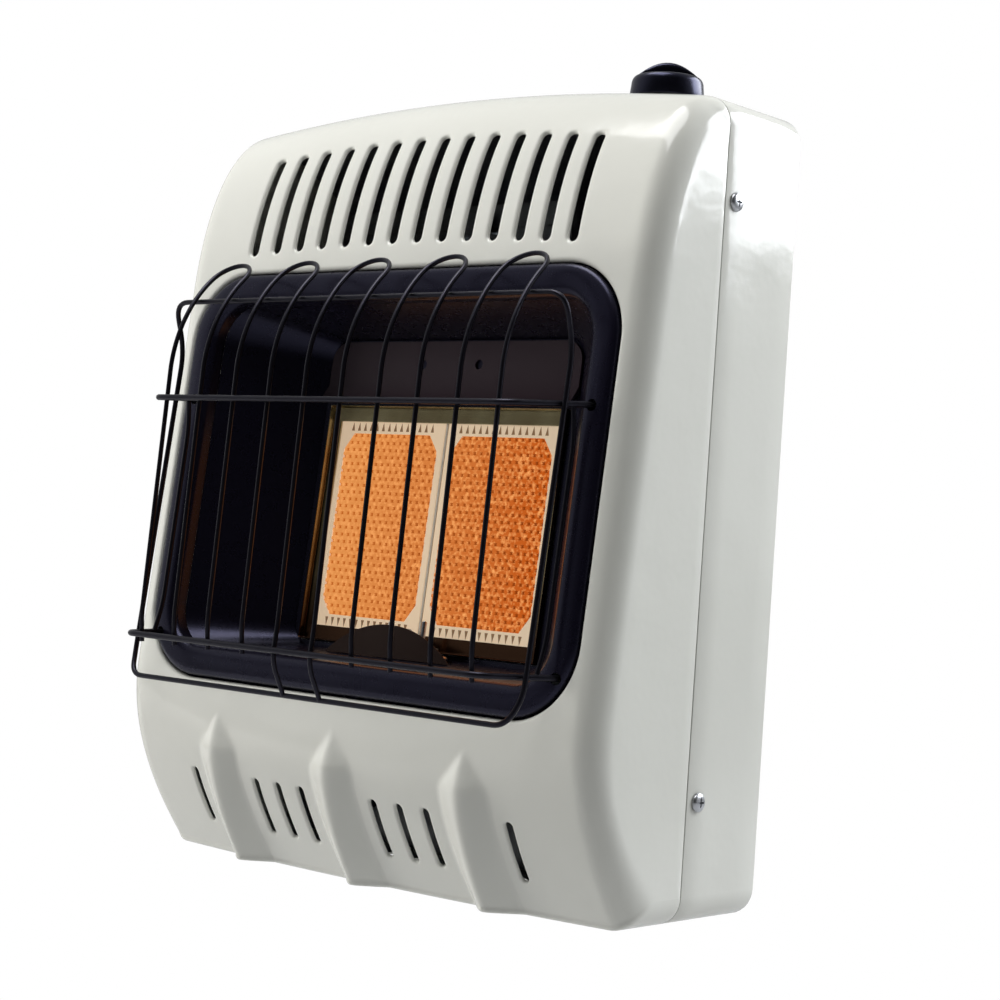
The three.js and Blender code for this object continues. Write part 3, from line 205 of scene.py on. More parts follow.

# %% [markdown]
# Materials share three effects. "fine_grain" is the tiny unevenness that every real surface has: a
# height for the bump and a roughness that varies. "soft_stain" is broad, cloudy variation that tints
# a colour, as heat, handling and dust do. The third darkens creases and recesses, which ambient
# occlusion finds: painted shade. Each is a node group, built once and placed in every material.

# %% Shared effects


def new_group(name, inputs, outputs):
    group = bpy.data.node_groups.new(name, "ShaderNodeTree")
    for label, kind, value in inputs:
        socket = group.interface.new_socket(label, in_out="INPUT", socket_type="NodeSocket" + kind)
        socket.default_value = value
    for label, kind in outputs:
        group.interface.new_socket(label, in_out="OUTPUT", socket_type="NodeSocket" + kind)
    return group, group.nodes.new("NodeGroupInput"), group.nodes.new("NodeGroupOutput")


def math_node(tree, operation, *values):
    """A Math node: numbers are set on its sockets, and outputs of other nodes are linked in."""
    node = tree.nodes.new("ShaderNodeMath")
    node.operation = operation
    for socket, value in zip(node.inputs, values):
        if isinstance(value, (int, float)):
            socket.default_value = value
        else:
            tree.links.new(value, socket)
    return node.outputs[0]


def fine_grain_group():
    group, given, made = new_group(
        "fine_grain",
        [("Scale", "Float", 400.0), ("Roughness", "Float", 0.3), ("Spread", "Float", 0.1)],
        [("Height", "Float"), ("Roughness", "Float")],
    )
    place = group.nodes.new("ShaderNodeTexCoord")
    noise = group.nodes.new("ShaderNodeTexNoise")
    noise.inputs["Detail"].default_value = 4
    group.links.new(place.outputs["Object"], noise.inputs["Vector"])
    group.links.new(given.outputs["Scale"], noise.inputs["Scale"])
    centred = math_node(group, "SUBTRACT", noise.outputs["Fac"], 0.5)
    rough = math_node(group, "MULTIPLY_ADD", centred, given.outputs["Spread"], given.outputs["Roughness"])
    group.links.new(noise.outputs["Fac"], made.inputs["Height"])
    group.links.new(rough, made.inputs["Roughness"])
    return group


def soft_stain_group():
    group, given, made = new_group(
        "soft_stain",
        [("Clean", "Color", WHITE), ("Stain", "Color", (0, 0, 0, 1)), ("Scale", "Float", 8.0),
         ("Amount", "Float", 0.2)],
        [("Color", "Color"), ("Mask", "Float")],
    )
    place = group.nodes.new("ShaderNodeTexCoord")
    noise = group.nodes.new("ShaderNodeTexNoise")
    noise.inputs["Detail"].default_value = 3
    group.links.new(place.outputs["Object"], noise.inputs["Vector"])
    group.links.new(given.outputs["Scale"], noise.inputs["Scale"])
    spread = group.nodes.new("ShaderNodeMapRange")
    spread.inputs["From Min"].default_value = 0.35
    spread.inputs["From Max"].default_value = 0.75
    group.links.new(noise.outputs["Fac"], spread.inputs["Value"])
    share = math_node(group, "MULTIPLY", spread.outputs["Result"], given.outputs["Amount"])
    mix = group.nodes.new("ShaderNodeMix")
    mix.data_type = "RGBA"
    group.links.new(share, mix.inputs["Factor"])
    group.links.new(given.outputs["Clean"], mix.inputs["A"])
    group.links.new(given.outputs["Stain"], mix.inputs["B"])
    group.links.new(mix.outputs["Result"], made.inputs["Color"])
    group.links.new(share, made.inputs["Mask"])
    return group


# Painted shade: ambient occlusion darkens creases and recesses towards the Corner colour.
def corner_shade_group():
    group, given, made = new_group(
        "painted_corner_shade",
        [("Color", "Color", WHITE), ("Corner", "Color", (0, 0, 0, 1)), ("Distance", "Float", 0.004),
         ("Amount", "Float", 0.5)],
        [("Color", "Color"), ("Mask", "Float")],
    )
    hollow = group.nodes.new("ShaderNodeAmbientOcclusion")
    hollow.samples = 4
    group.links.new(given.outputs["Distance"], hollow.inputs["Distance"])
    closed = math_node(group, "SUBTRACT", 1.0, hollow.outputs["AO"])
    share = math_node(group, "MULTIPLY", closed, given.outputs["Amount"])
    mix = group.nodes.new("ShaderNodeMix")
    mix.data_type = "RGBA"
    group.links.new(share, mix.inputs["Factor"])
    group.links.new(given.outputs["Color"], mix.inputs["A"])
    group.links.new(given.outputs["Corner"], mix.inputs["B"])
    group.links.new(mix.outputs["Result"], made.inputs["Color"])
    group.links.new(share, made.inputs["Mask"])
    return group


FINE_GRAIN = fine_grain_group()
SOFT_STAIN = soft_stain_group()
CORNER_SHADE = corner_shade_group()
print("shared effects:", FINE_GRAIN.name, SOFT_STAIN.name, CORNER_SHADE.name)

# %% [markdown]
# The casing is sheet steel in cream stove enamel: glossy, with the slow waves that a thick glaze
# has when it has flowed. The bezel and the firebox are black enamel, the guard is painted wire, and
# inside are galvanised sheet, zinc plated steel, cast metal, brass and drawn tube. Each could have
# its own node tree, but they differ only in their values, so one function makes all plain finishes.
# What is the same all over, such as the coat or the specular level, is set on the shader's own
# sockets, where the export finds it.

# %% Plain finishes


def rgb(red, green, blue):
    """A colour given as it looks on a screen, from 0 to 255, as Blender's linear colour."""
    def linear(v):
        v /= 255
        return v / 12.92 if v <= 0.04045 else ((v + 0.055) / 1.055) ** 2.4
    return (linear(red), linear(green), linear(blue), 1)


def placed(material, group, **values):
    node = material.node_tree.nodes.new("ShaderNodeGroup")
    node.node_tree = group
    for label, value in values.items():
        node.inputs[label].default_value = value
    return node


def plain_finish(name, color, stain, roughness, metallic=0.0, grain=400.0, spread=0.1, bump=0.02,
                 stain_scale=8.0, amount=0.3, coat=0.0, specular=0.5, corners=0.5, shine=WHITE):
    material = bpy.data.materials.new(name)
    material.use_nodes = True
    nodes, link = material.node_tree.nodes, material.node_tree.links.new
    shader = nodes["Principled BSDF"]
    shader.inputs["Metallic"].default_value = metallic
    shader.inputs["Coat Weight"].default_value = coat
    shader.inputs["Coat Roughness"].default_value = 0.05
    shader.inputs["Specular IOR Level"].default_value = specular
    shader.inputs["Specular Tint"].default_value = shine
    tint = placed(material, SOFT_STAIN, Clean=color, Stain=stain, Scale=stain_scale, Amount=amount)
    # Painted shade in creases and recesses: the corner colour is the base colour at 30 per cent.
    deep = tuple(c * 0.3 for c in color[:3]) + (1,)
    corner_shaded = placed(material, CORNER_SHADE, Corner=deep, Distance=3 * MM, Amount=corners)
    fine = placed(material, FINE_GRAIN, Scale=grain, Roughness=roughness, Spread=spread)
    relief = nodes.new("ShaderNodeBump")
    relief.inputs["Strength"].default_value = 1
    relief.inputs["Distance"].default_value = bump * MM
    link(tint.outputs["Color"], corner_shaded.inputs["Color"])
    link(corner_shaded.outputs["Color"], shader.inputs["Base Color"])
    link(fine.outputs["Roughness"], shader.inputs["Roughness"])
    link(fine.outputs["Height"], relief.inputs["Height"])
    link(relief.outputs["Normal"], shader.inputs["Normal"])
    return material


FINISHES = {
    "cream_enamel": plain_finish("cream_enamel", rgb(229, 229, 221), rgb(221, 221, 212), 0.14,
                                 grain=14, spread=0.03, bump=1.3, coat=0.12, corners=0.6),
    "black_enamel": plain_finish("black_enamel", rgb(15, 13, 24), rgb(9, 8, 15), 0.28, grain=160,
                                 spread=0.08, bump=0.015, specular=0.42, shine=rgb(205, 205, 255)),
    "heated_enamel": plain_finish("heated_enamel", rgb(62, 50, 56), rgb(50, 42, 52), 0.5,
                                  grain=160, spread=0.08, bump=0.01, specular=0.3),
    "scorched_enamel": plain_finish("scorched_enamel", rgb(36, 23, 18), rgb(24, 15, 12), 0.45,
                                    grain=160, spread=0.08, bump=0.015, specular=0.14),
    "black_wire": plain_finish("black_wire", rgb(8, 8, 10), rgb(16, 14, 14), 0.32, grain=900,
                               spread=0.15, bump=0.02, specular=0.4, shine=rgb(225, 220, 255)),
    "galvanised": plain_finish("galvanised", rgb(168, 172, 174), rgb(140, 144, 148), 0.45, 1.0,
                               grain=180, spread=0.25, bump=0.01, stain_scale=60, amount=0.6),
    "bright_steel": plain_finish("bright_steel", rgb(180, 168, 128), rgb(118, 92, 56), 0.22, 1.0,
                                 grain=300, spread=0.15, bump=0.01, stain_scale=45, amount=0.6),
    "zinc_steel": plain_finish("zinc_steel", rgb(196, 198, 202), rgb(150, 150, 156), 0.3, 1.0,
                               grain=600, spread=0.2, bump=0.01),
    "fibre": plain_finish("fibre", rgb(222, 212, 196), rgb(186, 172, 150), 0.95,
                          grain=700, spread=0.1, bump=0.25),
    "brass": plain_finish("brass", rgb(206, 172, 98), rgb(150, 116, 60), 0.3, 1.0,
                          grain=500, spread=0.2, bump=0.01),
    "cast_metal": plain_finish("cast_metal", rgb(158, 160, 162), rgb(120, 122, 124), 0.55, 1.0,
                               grain=800, spread=0.25, bump=0.12),
    "drawn_tube": plain_finish("drawn_tube", rgb(186, 188, 192), rgb(146, 148, 152), 0.32, 1.0,
                               grain=400, spread=0.2, bump=0.01),
    "black_plastic": plain_finish("black_plastic", rgb(8, 8, 12), rgb(12, 12, 18), 0.24,
                                  grain=700, spread=0.08, bump=0.008, specular=0.5,
                                  shine=rgb(195, 198, 255)),
    "glazed_ceramic": plain_finish("glazed_ceramic", rgb(236, 232, 222), rgb(206, 196, 178), 0.15,
                                   grain=300, spread=0.1, bump=0.01, coat=0.4),
    "rubber_lead": plain_finish("rubber_lead", rgb(30, 30, 32), rgb(46, 44, 44), 0.7,
                                grain=900, spread=0.1, bump=0.02),
}
FINISH_OF_SLOT = {
    "casing": "cream_enamel", "black_enamel": "black_enamel", "guard": "black_wire",
    "galvanised": "galvanised", "bright_steel": "bright_steel", "steel": "zinc_steel",
    "fibre": "fibre", "brass": "brass", "cast": "cast_metal", "tube": "drawn_tube",
    "knob": "black_plastic", "white_ceramic": "glazed_ceramic", "lead": "rubber_lead",
}


def dress(piece, material):
    piece.data.materials.clear()
    piece.data.materials.append(material)


for node_name, node in NODES.items():
    if SLOT_OF[node_name] in FINISH_OF_SLOT:
        dress(node, FINISHES[FINISH_OF_SLOT[SLOT_OF[node_name]]])
print(len(FINISHES), "finishes on", len(NODES), "nodes")

# %% [markdown]
# Every new piece is modelled with Blender's own operators, and a few helpers keep that short. An
# operator acts on all that is selected, so everything is deselected first, and faces or edges are
# then picked in code by their place or normal. "stands_for" says which CAD node a piece replaces,
# and takes the moving body and the finish from it.

# %% Modelling helpers


def deselect():
    if bpy.context.object and bpy.context.object.mode != "OBJECT":
        bpy.ops.object.mode_set(mode="OBJECT")
    bpy.ops.object.select_all(action="DESELECT")


def take(piece):
    deselect()
    piece.select_set(True)
    bpy.context.view_layer.objects.active = piece


def edit(piece, kind="FACE"):
    """Opens a piece in edit mode with nothing selected."""
    take(piece)
    bpy.ops.object.mode_set(mode="EDIT")
    bpy.ops.mesh.select_mode(type=kind)
    bpy.ops.mesh.select_all(action="DESELECT")
    return bmesh.from_edit_mesh(piece.data)


def pick(piece, kind, wanted):
    """Selects the faces, edges or vertices of the open piece for which wanted() is true."""
    mesh = bmesh.from_edit_mesh(piece.data)
    parts = {"FACE": mesh.faces, "EDGE": mesh.edges, "VERT": mesh.verts}[kind]
    for part in parts:
        if wanted(part):
            part.select_set(True)
    bmesh.update_edit_mesh(piece.data)


def lay(piece, place_of):
    """Moves every selected vertex of the open piece to place_of(vertex)."""
    mesh = bmesh.from_edit_mesh(piece.data)
    for vertex in mesh.verts:
        if vertex.select:
            vertex.co = place_of(vertex)
    bmesh.update_edit_mesh(piece.data)


def finished(piece, kind, **settings):
    """Adds a modifier and applies it at once."""
    take(piece)
    modifier = piece.modifiers.new(kind.lower(), kind)
    for label, value in settings.items():
        setattr(modifier, label, value)
    bpy.ops.object.modifier_apply(modifier=modifier.name)


def smooth(piece, degrees=35):
    take(piece)
    bpy.ops.object.shade_smooth_by_angle(angle=math.radians(degrees))


def cleaned(piece, distance=0.00001):
    edit(piece)
    bpy.ops.mesh.select_all(action="SELECT")
    bpy.ops.mesh.remove_doubles(threshold=distance)
    bpy.ops.mesh.normals_make_consistent(inside=False)
    deselect()


def at_origin(piece):
    take(piece)
    bpy.ops.object.transform_apply(location=True, rotation=True, scale=True)


def joined(name, pieces):
    deselect()
    for piece in pieces:
        piece.select_set(True)
    bpy.context.view_layer.objects.active = pieces[0]
    bpy.ops.object.join()
    pieces[0].name = name
    return pieces[0]


def stands_for(piece, node, finish=None):
    slot = SLOT_OF[node]
    dress(piece, finish or FINISHES[FINISH_OF_SLOT[slot]])
    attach(piece, BODY_OF[node])
    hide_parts(node)
    print(piece.name, len(piece.data.polygons), "faces")


print("modelling helpers ready")

# %% [markdown]
# The casing is laid out in millimetres from its own middle at the wall, and so is the sloping front,
# which leans back a little. Two functions turn such places into Blender's metres. The overall sizes
# are read from the frame, so they are the CAD model's own.

# %% Places on the casing
WALL_HANG = 170                 # the wall bracket hangs this far above the casing's middle
CABINET_LOW, CABINET_HIGH = (Vector(c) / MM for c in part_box("rear_cabinet"))
HALF_WIDTH = CABINET_HIGH.x
CROWN_Z = CABINET_HIGH.z + WALL_HANG
BOTTOM_Z = CABINET_LOW.z + WALL_HANG
SEAM_Y = CABINET_LOW.y
REAR_Y = CABINET_HIGH.y
ARCH_RADIUS = 1473
CORNER_RADIUS = 17
CORNER_X = HALF_WIDTH - CORNER_RADIUS
ARCH_CENTRE_Z = CROWN_Z - ARCH_RADIUS
UPPER_CORNER_Z = ARCH_CENTRE_Z + math.sqrt((ARCH_RADIUS - CORNER_RADIUS) ** 2 - CORNER_X ** 2)
TILT = math.radians(6.06)       # the front leans back
FACE_Y, FACE_Z = -155.3, 11.8   # middle of the fire opening
SHEET = 1.2
QUARTER = math.pi / 2


def casing_place(x, y, z):
    return Vector((x, y, z - WALL_HANG)) * MM


def slope_place(x, depth, rise):
    """A place given across, in behind the sloping front and up along it."""
    return casing_place(
        x,
        FACE_Y + depth * math.cos(TILT) + rise * math.sin(TILT),
        FACE_Z - depth * math.sin(TILT) + rise * math.cos(TILT),
    )


def arc(x, z, radius, start, end, steps):
    return [
        (x + radius * math.cos(start + (end - start) * i / steps),
         z + radius * math.sin(start + (end - start) * i / steps))
        for i in range(steps + 1)
    ]


print("casing", round(2 * HALF_WIDTH), "x", round(CROWN_Z - BOTTOM_Z), "mm")

# %% [markdown]
# ## The front cover
#
# The real cover is one flat sheet. A press punches its louvres and its fire opening, turns their
# edges in and then draws the whole blank over a die. It is made the same way here, because a flat
# blank is easy to cut neatly: a grid in millimetres, as wide and as long as the unrolled cover. The
# die is a formula that says where each spot of the blank ends up. First comes its section up the
# middle: underside, bottom bend, full lower front, straight slope and rounded top.

# %% The die's section
STRAIGHT_TOP, STRAIGHT_BOTTOM = 134, -108
LIP_Y, LIP_RADIUS = -124, 3
LOWER_LEAD, LOWER_REACH, LOWER_SWEEP = 44, 34, 24
CREST_LEAD, CREST_REACH = 58, 34
FINE = 160                      # points taken along each stretch of the section


def front_y(z):
    return FACE_Y + math.tan(TILT) * (z - FACE_Z)


def bezier(a, b, c, d, t):
    s = 1 - t
    return [s ** 3 * p + 3 * s * s * t * q + 3 * s * t * t * u + t ** 3 * v
            for p, q, u, v in zip(a, b, c, d)]


def die_section():
    """Rows of y, z, blend and shaped from seam to seam. Blend says how much a row follows the
    rounded outline, from -1 at the underside to 1 at the top. Shaped fades the ribs out at the seam."""
    shares = [i / FINE for i in range(1, FINE + 1)]
    rows = [(SEAM_Y, BOTTOM_Z, -1, 0)]
    rows += [(SEAM_Y + (LIP_Y + LIP_RADIUS - SEAM_Y) * t, BOTTOM_Z, -1, t) for t in shares]
    rows += [(LIP_Y + LIP_RADIUS * (1 - math.sin(t * QUARTER)),
              BOTTOM_Z + LIP_RADIUS * (1 - math.cos(t * QUARTER)), -1, 1) for t in shares]
    lower = ((LIP_Y, BOTTOM_Z + LIP_RADIUS), (LIP_Y - LOWER_SWEEP, BOTTOM_Z + LOWER_REACH),
             (front_y(STRAIGHT_BOTTOM - LOWER_LEAD), STRAIGHT_BOTTOM - LOWER_LEAD),
             (front_y(STRAIGHT_BOTTOM), STRAIGHT_BOTTOM))
    rows += [(*bezier(*lower, t), -((1 - t) ** 2), 1) for t in shares]
    slope = [STRAIGHT_BOTTOM + (STRAIGHT_TOP - STRAIGHT_BOTTOM) * t for t in shares]
    rows += [(front_y(z), z, 0, 1) for z in slope]
    crest = ((front_y(STRAIGHT_TOP), STRAIGHT_TOP),
             (front_y(STRAIGHT_TOP + CREST_LEAD), STRAIGHT_TOP + CREST_LEAD),
             (SEAM_Y - CREST_REACH, CROWN_Z), (SEAM_Y, CROWN_Z))
    for y, z in (bezier(*crest, t) for t in shares):
        rows.append((y, z, ((z - STRAIGHT_TOP) / (CROWN_Z - STRAIGHT_TOP)) ** 2, 1))
    return rows


SECTION = die_section()
LENGTHS = [0.0]
for before, after in zip(SECTION, SECTION[1:]):
    LENGTHS.append(LENGTHS[-1] + math.hypot(after[0] - before[0], after[1] - before[1]))
BLANK_LENGTH = LENGTHS[-1]


def section_at(length):
    i = min(max(bisect.bisect_right(LENGTHS, length), 1), len(LENGTHS) - 1)
    t = min(max((length - LENGTHS[i - 1]) / (LENGTHS[i] - LENGTHS[i - 1]), 0), 1)
    return [a + (b - a) * t for a, b in zip(SECTION[i - 1], SECTION[i])]


def length_at(z):
    """Length along the blank of a height on the front. The underside and its bend are passed over."""
    i = next(k for k in range(2 * FINE, len(SECTION)) if SECTION[k][1] >= z)
    share = (z - SECTION[i - 1][1]) / (SECTION[i][1] - SECTION[i - 1][1])
    return LENGTHS[i - 1] + (LENGTHS[i] - LENGTHS[i - 1]) * share


print("the blank is", round(BLANK_LENGTH), "mm long")

# %% [markdown]
# The die also has three ribs below the opening, which grow from a pointed tip into a ridge with
# straight flanks, and a slight crown between them. Its sides turn back through a rounded shoulder to
# the seam. A spot's height above the sheet, such as a turned-in edge, is laid off along the die's
# normal, which is measured between neighbouring spots.

# %% The die
RIB_PITCH, RIB_HALF_WIDTH, RIB_ROUND = 101, 17, 0.2
RIB_TIP_Z, RIB_FULL_Z = -136, -156
RIB_SHOULDER, RIB_FOOT = 6.5, 15
LOWER_CROWN, CROWN_FADE = 10, 60
SHOULDER_LENGTH = CORNER_RADIUS * QUARTER
SIDE_LENGTH = 56                # the flat blank's side, stretched or gathered to reach the seam
SEAM_GAP = 0.6
NEAR = 0.1                      # how far off the neighbours are that give the die's normal
BLANK_HALF = CORNER_X + SHOULDER_LENGTH + SIDE_LENGTH


def clamped(value):
    return min(max(value, 0), 1)


def rib_height(x, z):
    grown = clamped((RIB_TIP_Z - z) / (RIB_TIP_Z - RIB_FULL_Z))
    if grown == 0:
        return 0
    below = clamped((RIB_FULL_Z - z) / (RIB_FULL_Z - BOTTOM_Z))
    nearest = round(min(max(x / RIB_PITCH, -1), 1)) * RIB_PITCH
    share = min(abs(x - nearest) / (RIB_HALF_WIDTH * max(grown, 0.1)), 1)
    edge = math.hypot(1, RIB_ROUND)
    flank = (edge - math.hypot(share, RIB_ROUND)) / (edge - RIB_ROUND)
    return grown * (RIB_SHOULDER + (RIB_FOOT - RIB_SHOULDER) * below) * flank


def top_edge(x):
    if abs(x) < CORNER_X * ARCH_RADIUS / (ARCH_RADIUS - CORNER_RADIUS):
        return ARCH_CENTRE_Z + math.sqrt(ARCH_RADIUS ** 2 - x * x)
    return UPPER_CORNER_Z + math.sqrt(max(CORNER_RADIUS ** 2 - (abs(x) - CORNER_X) ** 2, 0))


def die_place(across, along):
    """Where a spot of the blank lies on the die, in millimetres on the casing."""
    y, z, blend, shaped = section_at(along)
    turn = min(max((abs(across) - CORNER_X) / CORNER_RADIUS, 0), QUARTER)
    x = math.copysign(min(abs(across), CORNER_X) + CORNER_RADIUS * math.sin(turn), across)
    back = 1 - math.cos(turn)
    side = clamped((abs(across) - CORNER_X - SHOULDER_LENGTH) / SIDE_LENGTH)
    if blend > 0:
        z -= (CROWN_Z - top_edge(x)) * blend
    else:
        z -= CORNER_RADIUS * back * blend
    fade = clamped((STRAIGHT_BOTTOM - z) / CROWN_FADE)
    crown = LOWER_CROWN * fade * fade * (3 - 2 * fade) * (1 - min(abs(x) / CORNER_X, 1) ** 2)
    front = y - shaped * (crown + rib_height(x, z))
    y = min(front + min(CORNER_RADIUS, SEAM_Y - y) * back, SEAM_Y)
    return Vector((x, y + (SEAM_Y - y) * side - SEAM_GAP, z))


def pressed(spot):
    """The finished place of a spot (across, along, height) of the blank."""
    across, along, height = spot
    place = die_place(across, along)
    if height:
        low, high = max(along - NEAR, 0), min(along + NEAR, BLANK_LENGTH)
        over = die_place(across + NEAR, along) - die_place(across - NEAR, along)
        up = die_place(across, high) - die_place(across, low)
        place += over.cross(up).normalized() * height
    return casing_place(*place)


print("ribs stand", RIB_SHOULDER, "to", RIB_FOOT, "mm proud")

# %% [markdown]
# The blank starts as a grid primitive. Its rows and columns are then spread unevenly: fine along the
# seam edges, which are slightly rounded, and round the bends. A column lies on the ridge of each rib.
# The two lower corners are notched, as on any folded tray, so that the underside and the side meet
# there without doubled metal.

# %% The blank
RIDGE_COLUMN = RIB_PITCH / 46   # width of a column, so that a whole number reaches a rib's ridge
EDGE_ROUND = 0.8
EDGE_FALL = 0.75                # how much of a quarter round the edge goes down
EDGE_STEPS = (0, 0.1, 0.3, EDGE_ROUND)
UNDERSIDE_END = LENGTHS[FINE]
LIP_END = LENGTHS[2 * FINE]


def stretch(start, end, step):
    count = max(1, round((end - start) / step))
    return [start + (end - start) * i / count for i in range(count)]


def blank_rows():
    near_edge = [BLANK_LENGTH - s for s in reversed(EDGE_STEPS)]
    return [
        *EDGE_STEPS[:-1],
        *stretch(EDGE_ROUND, UNDERSIDE_END, 4),
        *stretch(UNDERSIDE_END, LIP_END, 0.8),
        *stretch(LIP_END, near_edge[0], 2.9),
        *near_edge,
    ]


def blank_columns():
    shoulder_end = CORNER_X + SHOULDER_LENGTH
    near_edge = [BLANK_HALF - s for s in reversed(EDGE_STEPS)]
    right = [RIDGE_COLUMN * i for i in range(1, int(CORNER_X / RIDGE_COLUMN))]
    right += [*stretch(right[-1] + RIDGE_COLUMN, shoulder_end, 2.6),
              *stretch(shoulder_end, near_edge[0], 6), *near_edge]
    return [-w for w in reversed(right)] + [0.0] + right


def edge_drop(spot, rows, columns):
    away = min(spot.y - rows[0], rows[-1] - spot.y, spot.x - columns[0], columns[-1] - spot.x)
    left = EDGE_ROUND - min(max(away, 0), EDGE_ROUND)
    return math.sqrt(EDGE_ROUND ** 2 - left ** 2) - EDGE_ROUND


def flat_blank():
    rows, columns = blank_rows(), blank_columns()
    deselect()
    bpy.ops.mesh.primitive_grid_add(
        x_subdivisions=len(columns) - 1, y_subdivisions=len(rows) - 1, size=2)
    blank = bpy.context.object
    for vertex in blank.data.vertices:
        i = round((vertex.co.x + 1) / 2 * (len(columns) - 1))
        j = round((vertex.co.y + 1) / 2 * (len(rows) - 1))
        vertex.co = (columns[i], rows[j], 0)
        vertex.co.z = EDGE_FALL * edge_drop(vertex.co, rows, columns)
    return blank


cover = flat_blank()
edit(cover)
side_start = CORNER_X + SHOULDER_LENGTH
pick(cover, "FACE", lambda f: abs(f.calc_center_median().x) > side_start
     and f.calc_center_median().y < UNDERSIDE_END)
bpy.ops.mesh.delete(type="FACE")
deselect()
print("blank of", len(cover.data.polygons), "faces")

# %% [markdown]
# Punching a hole: the grid faces over it are deleted, the edges that this bares are extruded ring by
# ring, and each new ring is laid parallel to the hole's outline. A louvre is a straight core line
# with a radius round it, and the fire opening is a core rectangle with a larger radius, so one
# function serves both. The last rings go down, which turns the edge in.

# %% Punch the holes


def core_point(spot, centre, core):
    """The nearest point of a hole's core, and the way from it to the spot."""
    x = min(max(spot.x, centre[0] - core[0]), centre[0] + core[0])
    y = min(max(spot.y, centre[1] - core[1]), centre[1] + core[1])
    return Vector((x, y)), Vector((spot.x - x, spot.y - y))


def punched(blank, centres, core, radius, margin, easing, rings):
    """Easing is the number of rings between the grid and the first turned-in ring."""
    def nearest(spot):
        return min(centres, key=lambda c: max(
            abs(spot.x - c[0]) - core[0], abs(spot.y - c[1]) - core[1]))

    def within(spot, extra):
        c = nearest(spot)
        reach = radius + margin + extra
        return abs(spot.x - c[0]) < core[0] + reach and abs(spot.y - c[1]) < core[1] + reach

    edit(blank)
    pick(blank, "FACE", lambda f: within(f.calc_center_median(), 0))
    bpy.ops.mesh.delete(type="FACE")
    bpy.ops.mesh.select_mode(type="EDGE")
    pick(blank, "EDGE", lambda e: e.is_boundary and all(within(v.co, 4) for v in e.verts))
    first = rings[0][0]

    def eased(vertex, steps_left):
        root, away = core_point(vertex.co, nearest(vertex.co), core)
        length = away.length + (radius + first - away.length) / steps_left
        return (root + away.normalized() * length).to_3d()

    def turned(vertex, offset, height):
        root, away = core_point(vertex.co, nearest(vertex.co), core)
        spot = root + away.normalized() * (radius + offset)
        return Vector((spot.x, spot.y, height))

    for steps_left in range(easing, 0, -1):
        bpy.ops.mesh.extrude_edges_move()
        lay(blank, lambda v: eased(v, steps_left))
    for offset, height in rings[1:]:
        bpy.ops.mesh.extrude_edges_move()
        lay(blank, lambda v: turned(v, offset, height))
    deselect()


def turned_in(round_radius, depth, steps):
    """Rings of (offset, height) round a quarter circle and straight down to a depth."""
    bend = [(round_radius * (1 - math.sin(i / steps * QUARTER)),
             round_radius * (math.cos(i / steps * QUARTER) - 1)) for i in range(steps + 1)]
    return bend + [(0, -depth)]


OPENING_HALF, OPENING_LOW, OPENING_HIGH, OPENING_RADIUS = 173.5, -127.5, 130, 45
OPENING_TURN = 2.6
LOUVRE_COUNT, LOUVRE_PITCH, LOUVRE_RADIUS, LOUVRE_SAG = 14, 20, 3.5, 0.65
LOUVRE_LOW, LOUVRE_HIGH = 156.5, 223.5
AIR_SLOTS, AIR_SLOT_RADIUS, AIR_SLOT_LOW, AIR_SLOT_HIGH = (30, 50, 70, 129), 2.5, -206, -172

opening_middle = length_at(FACE_Z) + (OPENING_HIGH + OPENING_LOW) / 2
opening_core = (OPENING_HALF - OPENING_RADIUS, (OPENING_HIGH - OPENING_LOW) / 2 - OPENING_RADIUS)
punched(cover, [(0, opening_middle)], opening_core, OPENING_RADIUS, margin=6, easing=6,
        rings=turned_in(OPENING_TURN, 3.6, 6))

louvre_length = length_at(LOUVRE_HIGH) - length_at(LOUVRE_LOW)
louvre_middle = length_at(LOUVRE_LOW) + louvre_length / 2
louvre_xs = [(i - (LOUVRE_COUNT - 1) / 2) * LOUVRE_PITCH for i in range(LOUVRE_COUNT)]
louvre_spots = [(x, louvre_middle - LOUVRE_SAG * x * x / (2 * ARCH_RADIUS)) for x in louvre_xs]
louvre_edge = [(2.2, 0), (1.5, -0.12), (0.9, -0.4), (0.4, -0.85), (0.1, -1.4), (0, -2.2)]
punched(cover, louvre_spots, (0, louvre_length / 2 - LOUVRE_RADIUS), LOUVRE_RADIUS,
        margin=4, easing=2, rings=louvre_edge)

slot_length = length_at(AIR_SLOT_HIGH) - length_at(AIR_SLOT_LOW)
slot_middle = length_at(AIR_SLOT_LOW) + slot_length / 2
slot_edge = [(1.6, 0), (1.0, -0.15), (0.5, -0.5), (0.15, -1.0), (0, -1.8)]
punched(cover, [(side * x, slot_middle) for x in AIR_SLOTS for side in (-1, 1)],
        (0, slot_length / 2 - AIR_SLOT_RADIUS), AIR_SLOT_RADIUS, margin=4, easing=2, rings=slot_edge)
print("punched", LOUVRE_COUNT, "louvres and", 2 * len(AIR_SLOTS), "air slots")

# %% [markdown]
# Now the blank goes into the press: every vertex moves to its place on the die. The sheet gets its
# thickness behind that face from a Solidify modifier, after its doubles are merged. Two flanges
# behind the seam slip into the cabinet. They could be folded from the same blank, but they are
# hidden once the heater is shut, so they are plain strips joined to it.

# %% Press the cover
COVER_FLANGE, FLANGE_INSET = 19, 1.5
FLANGE_OVERLAP = 4              # how far a flange reaches in behind the cover's side
FLANGE_SHORTER = 50             # and how much shorter it is than the side


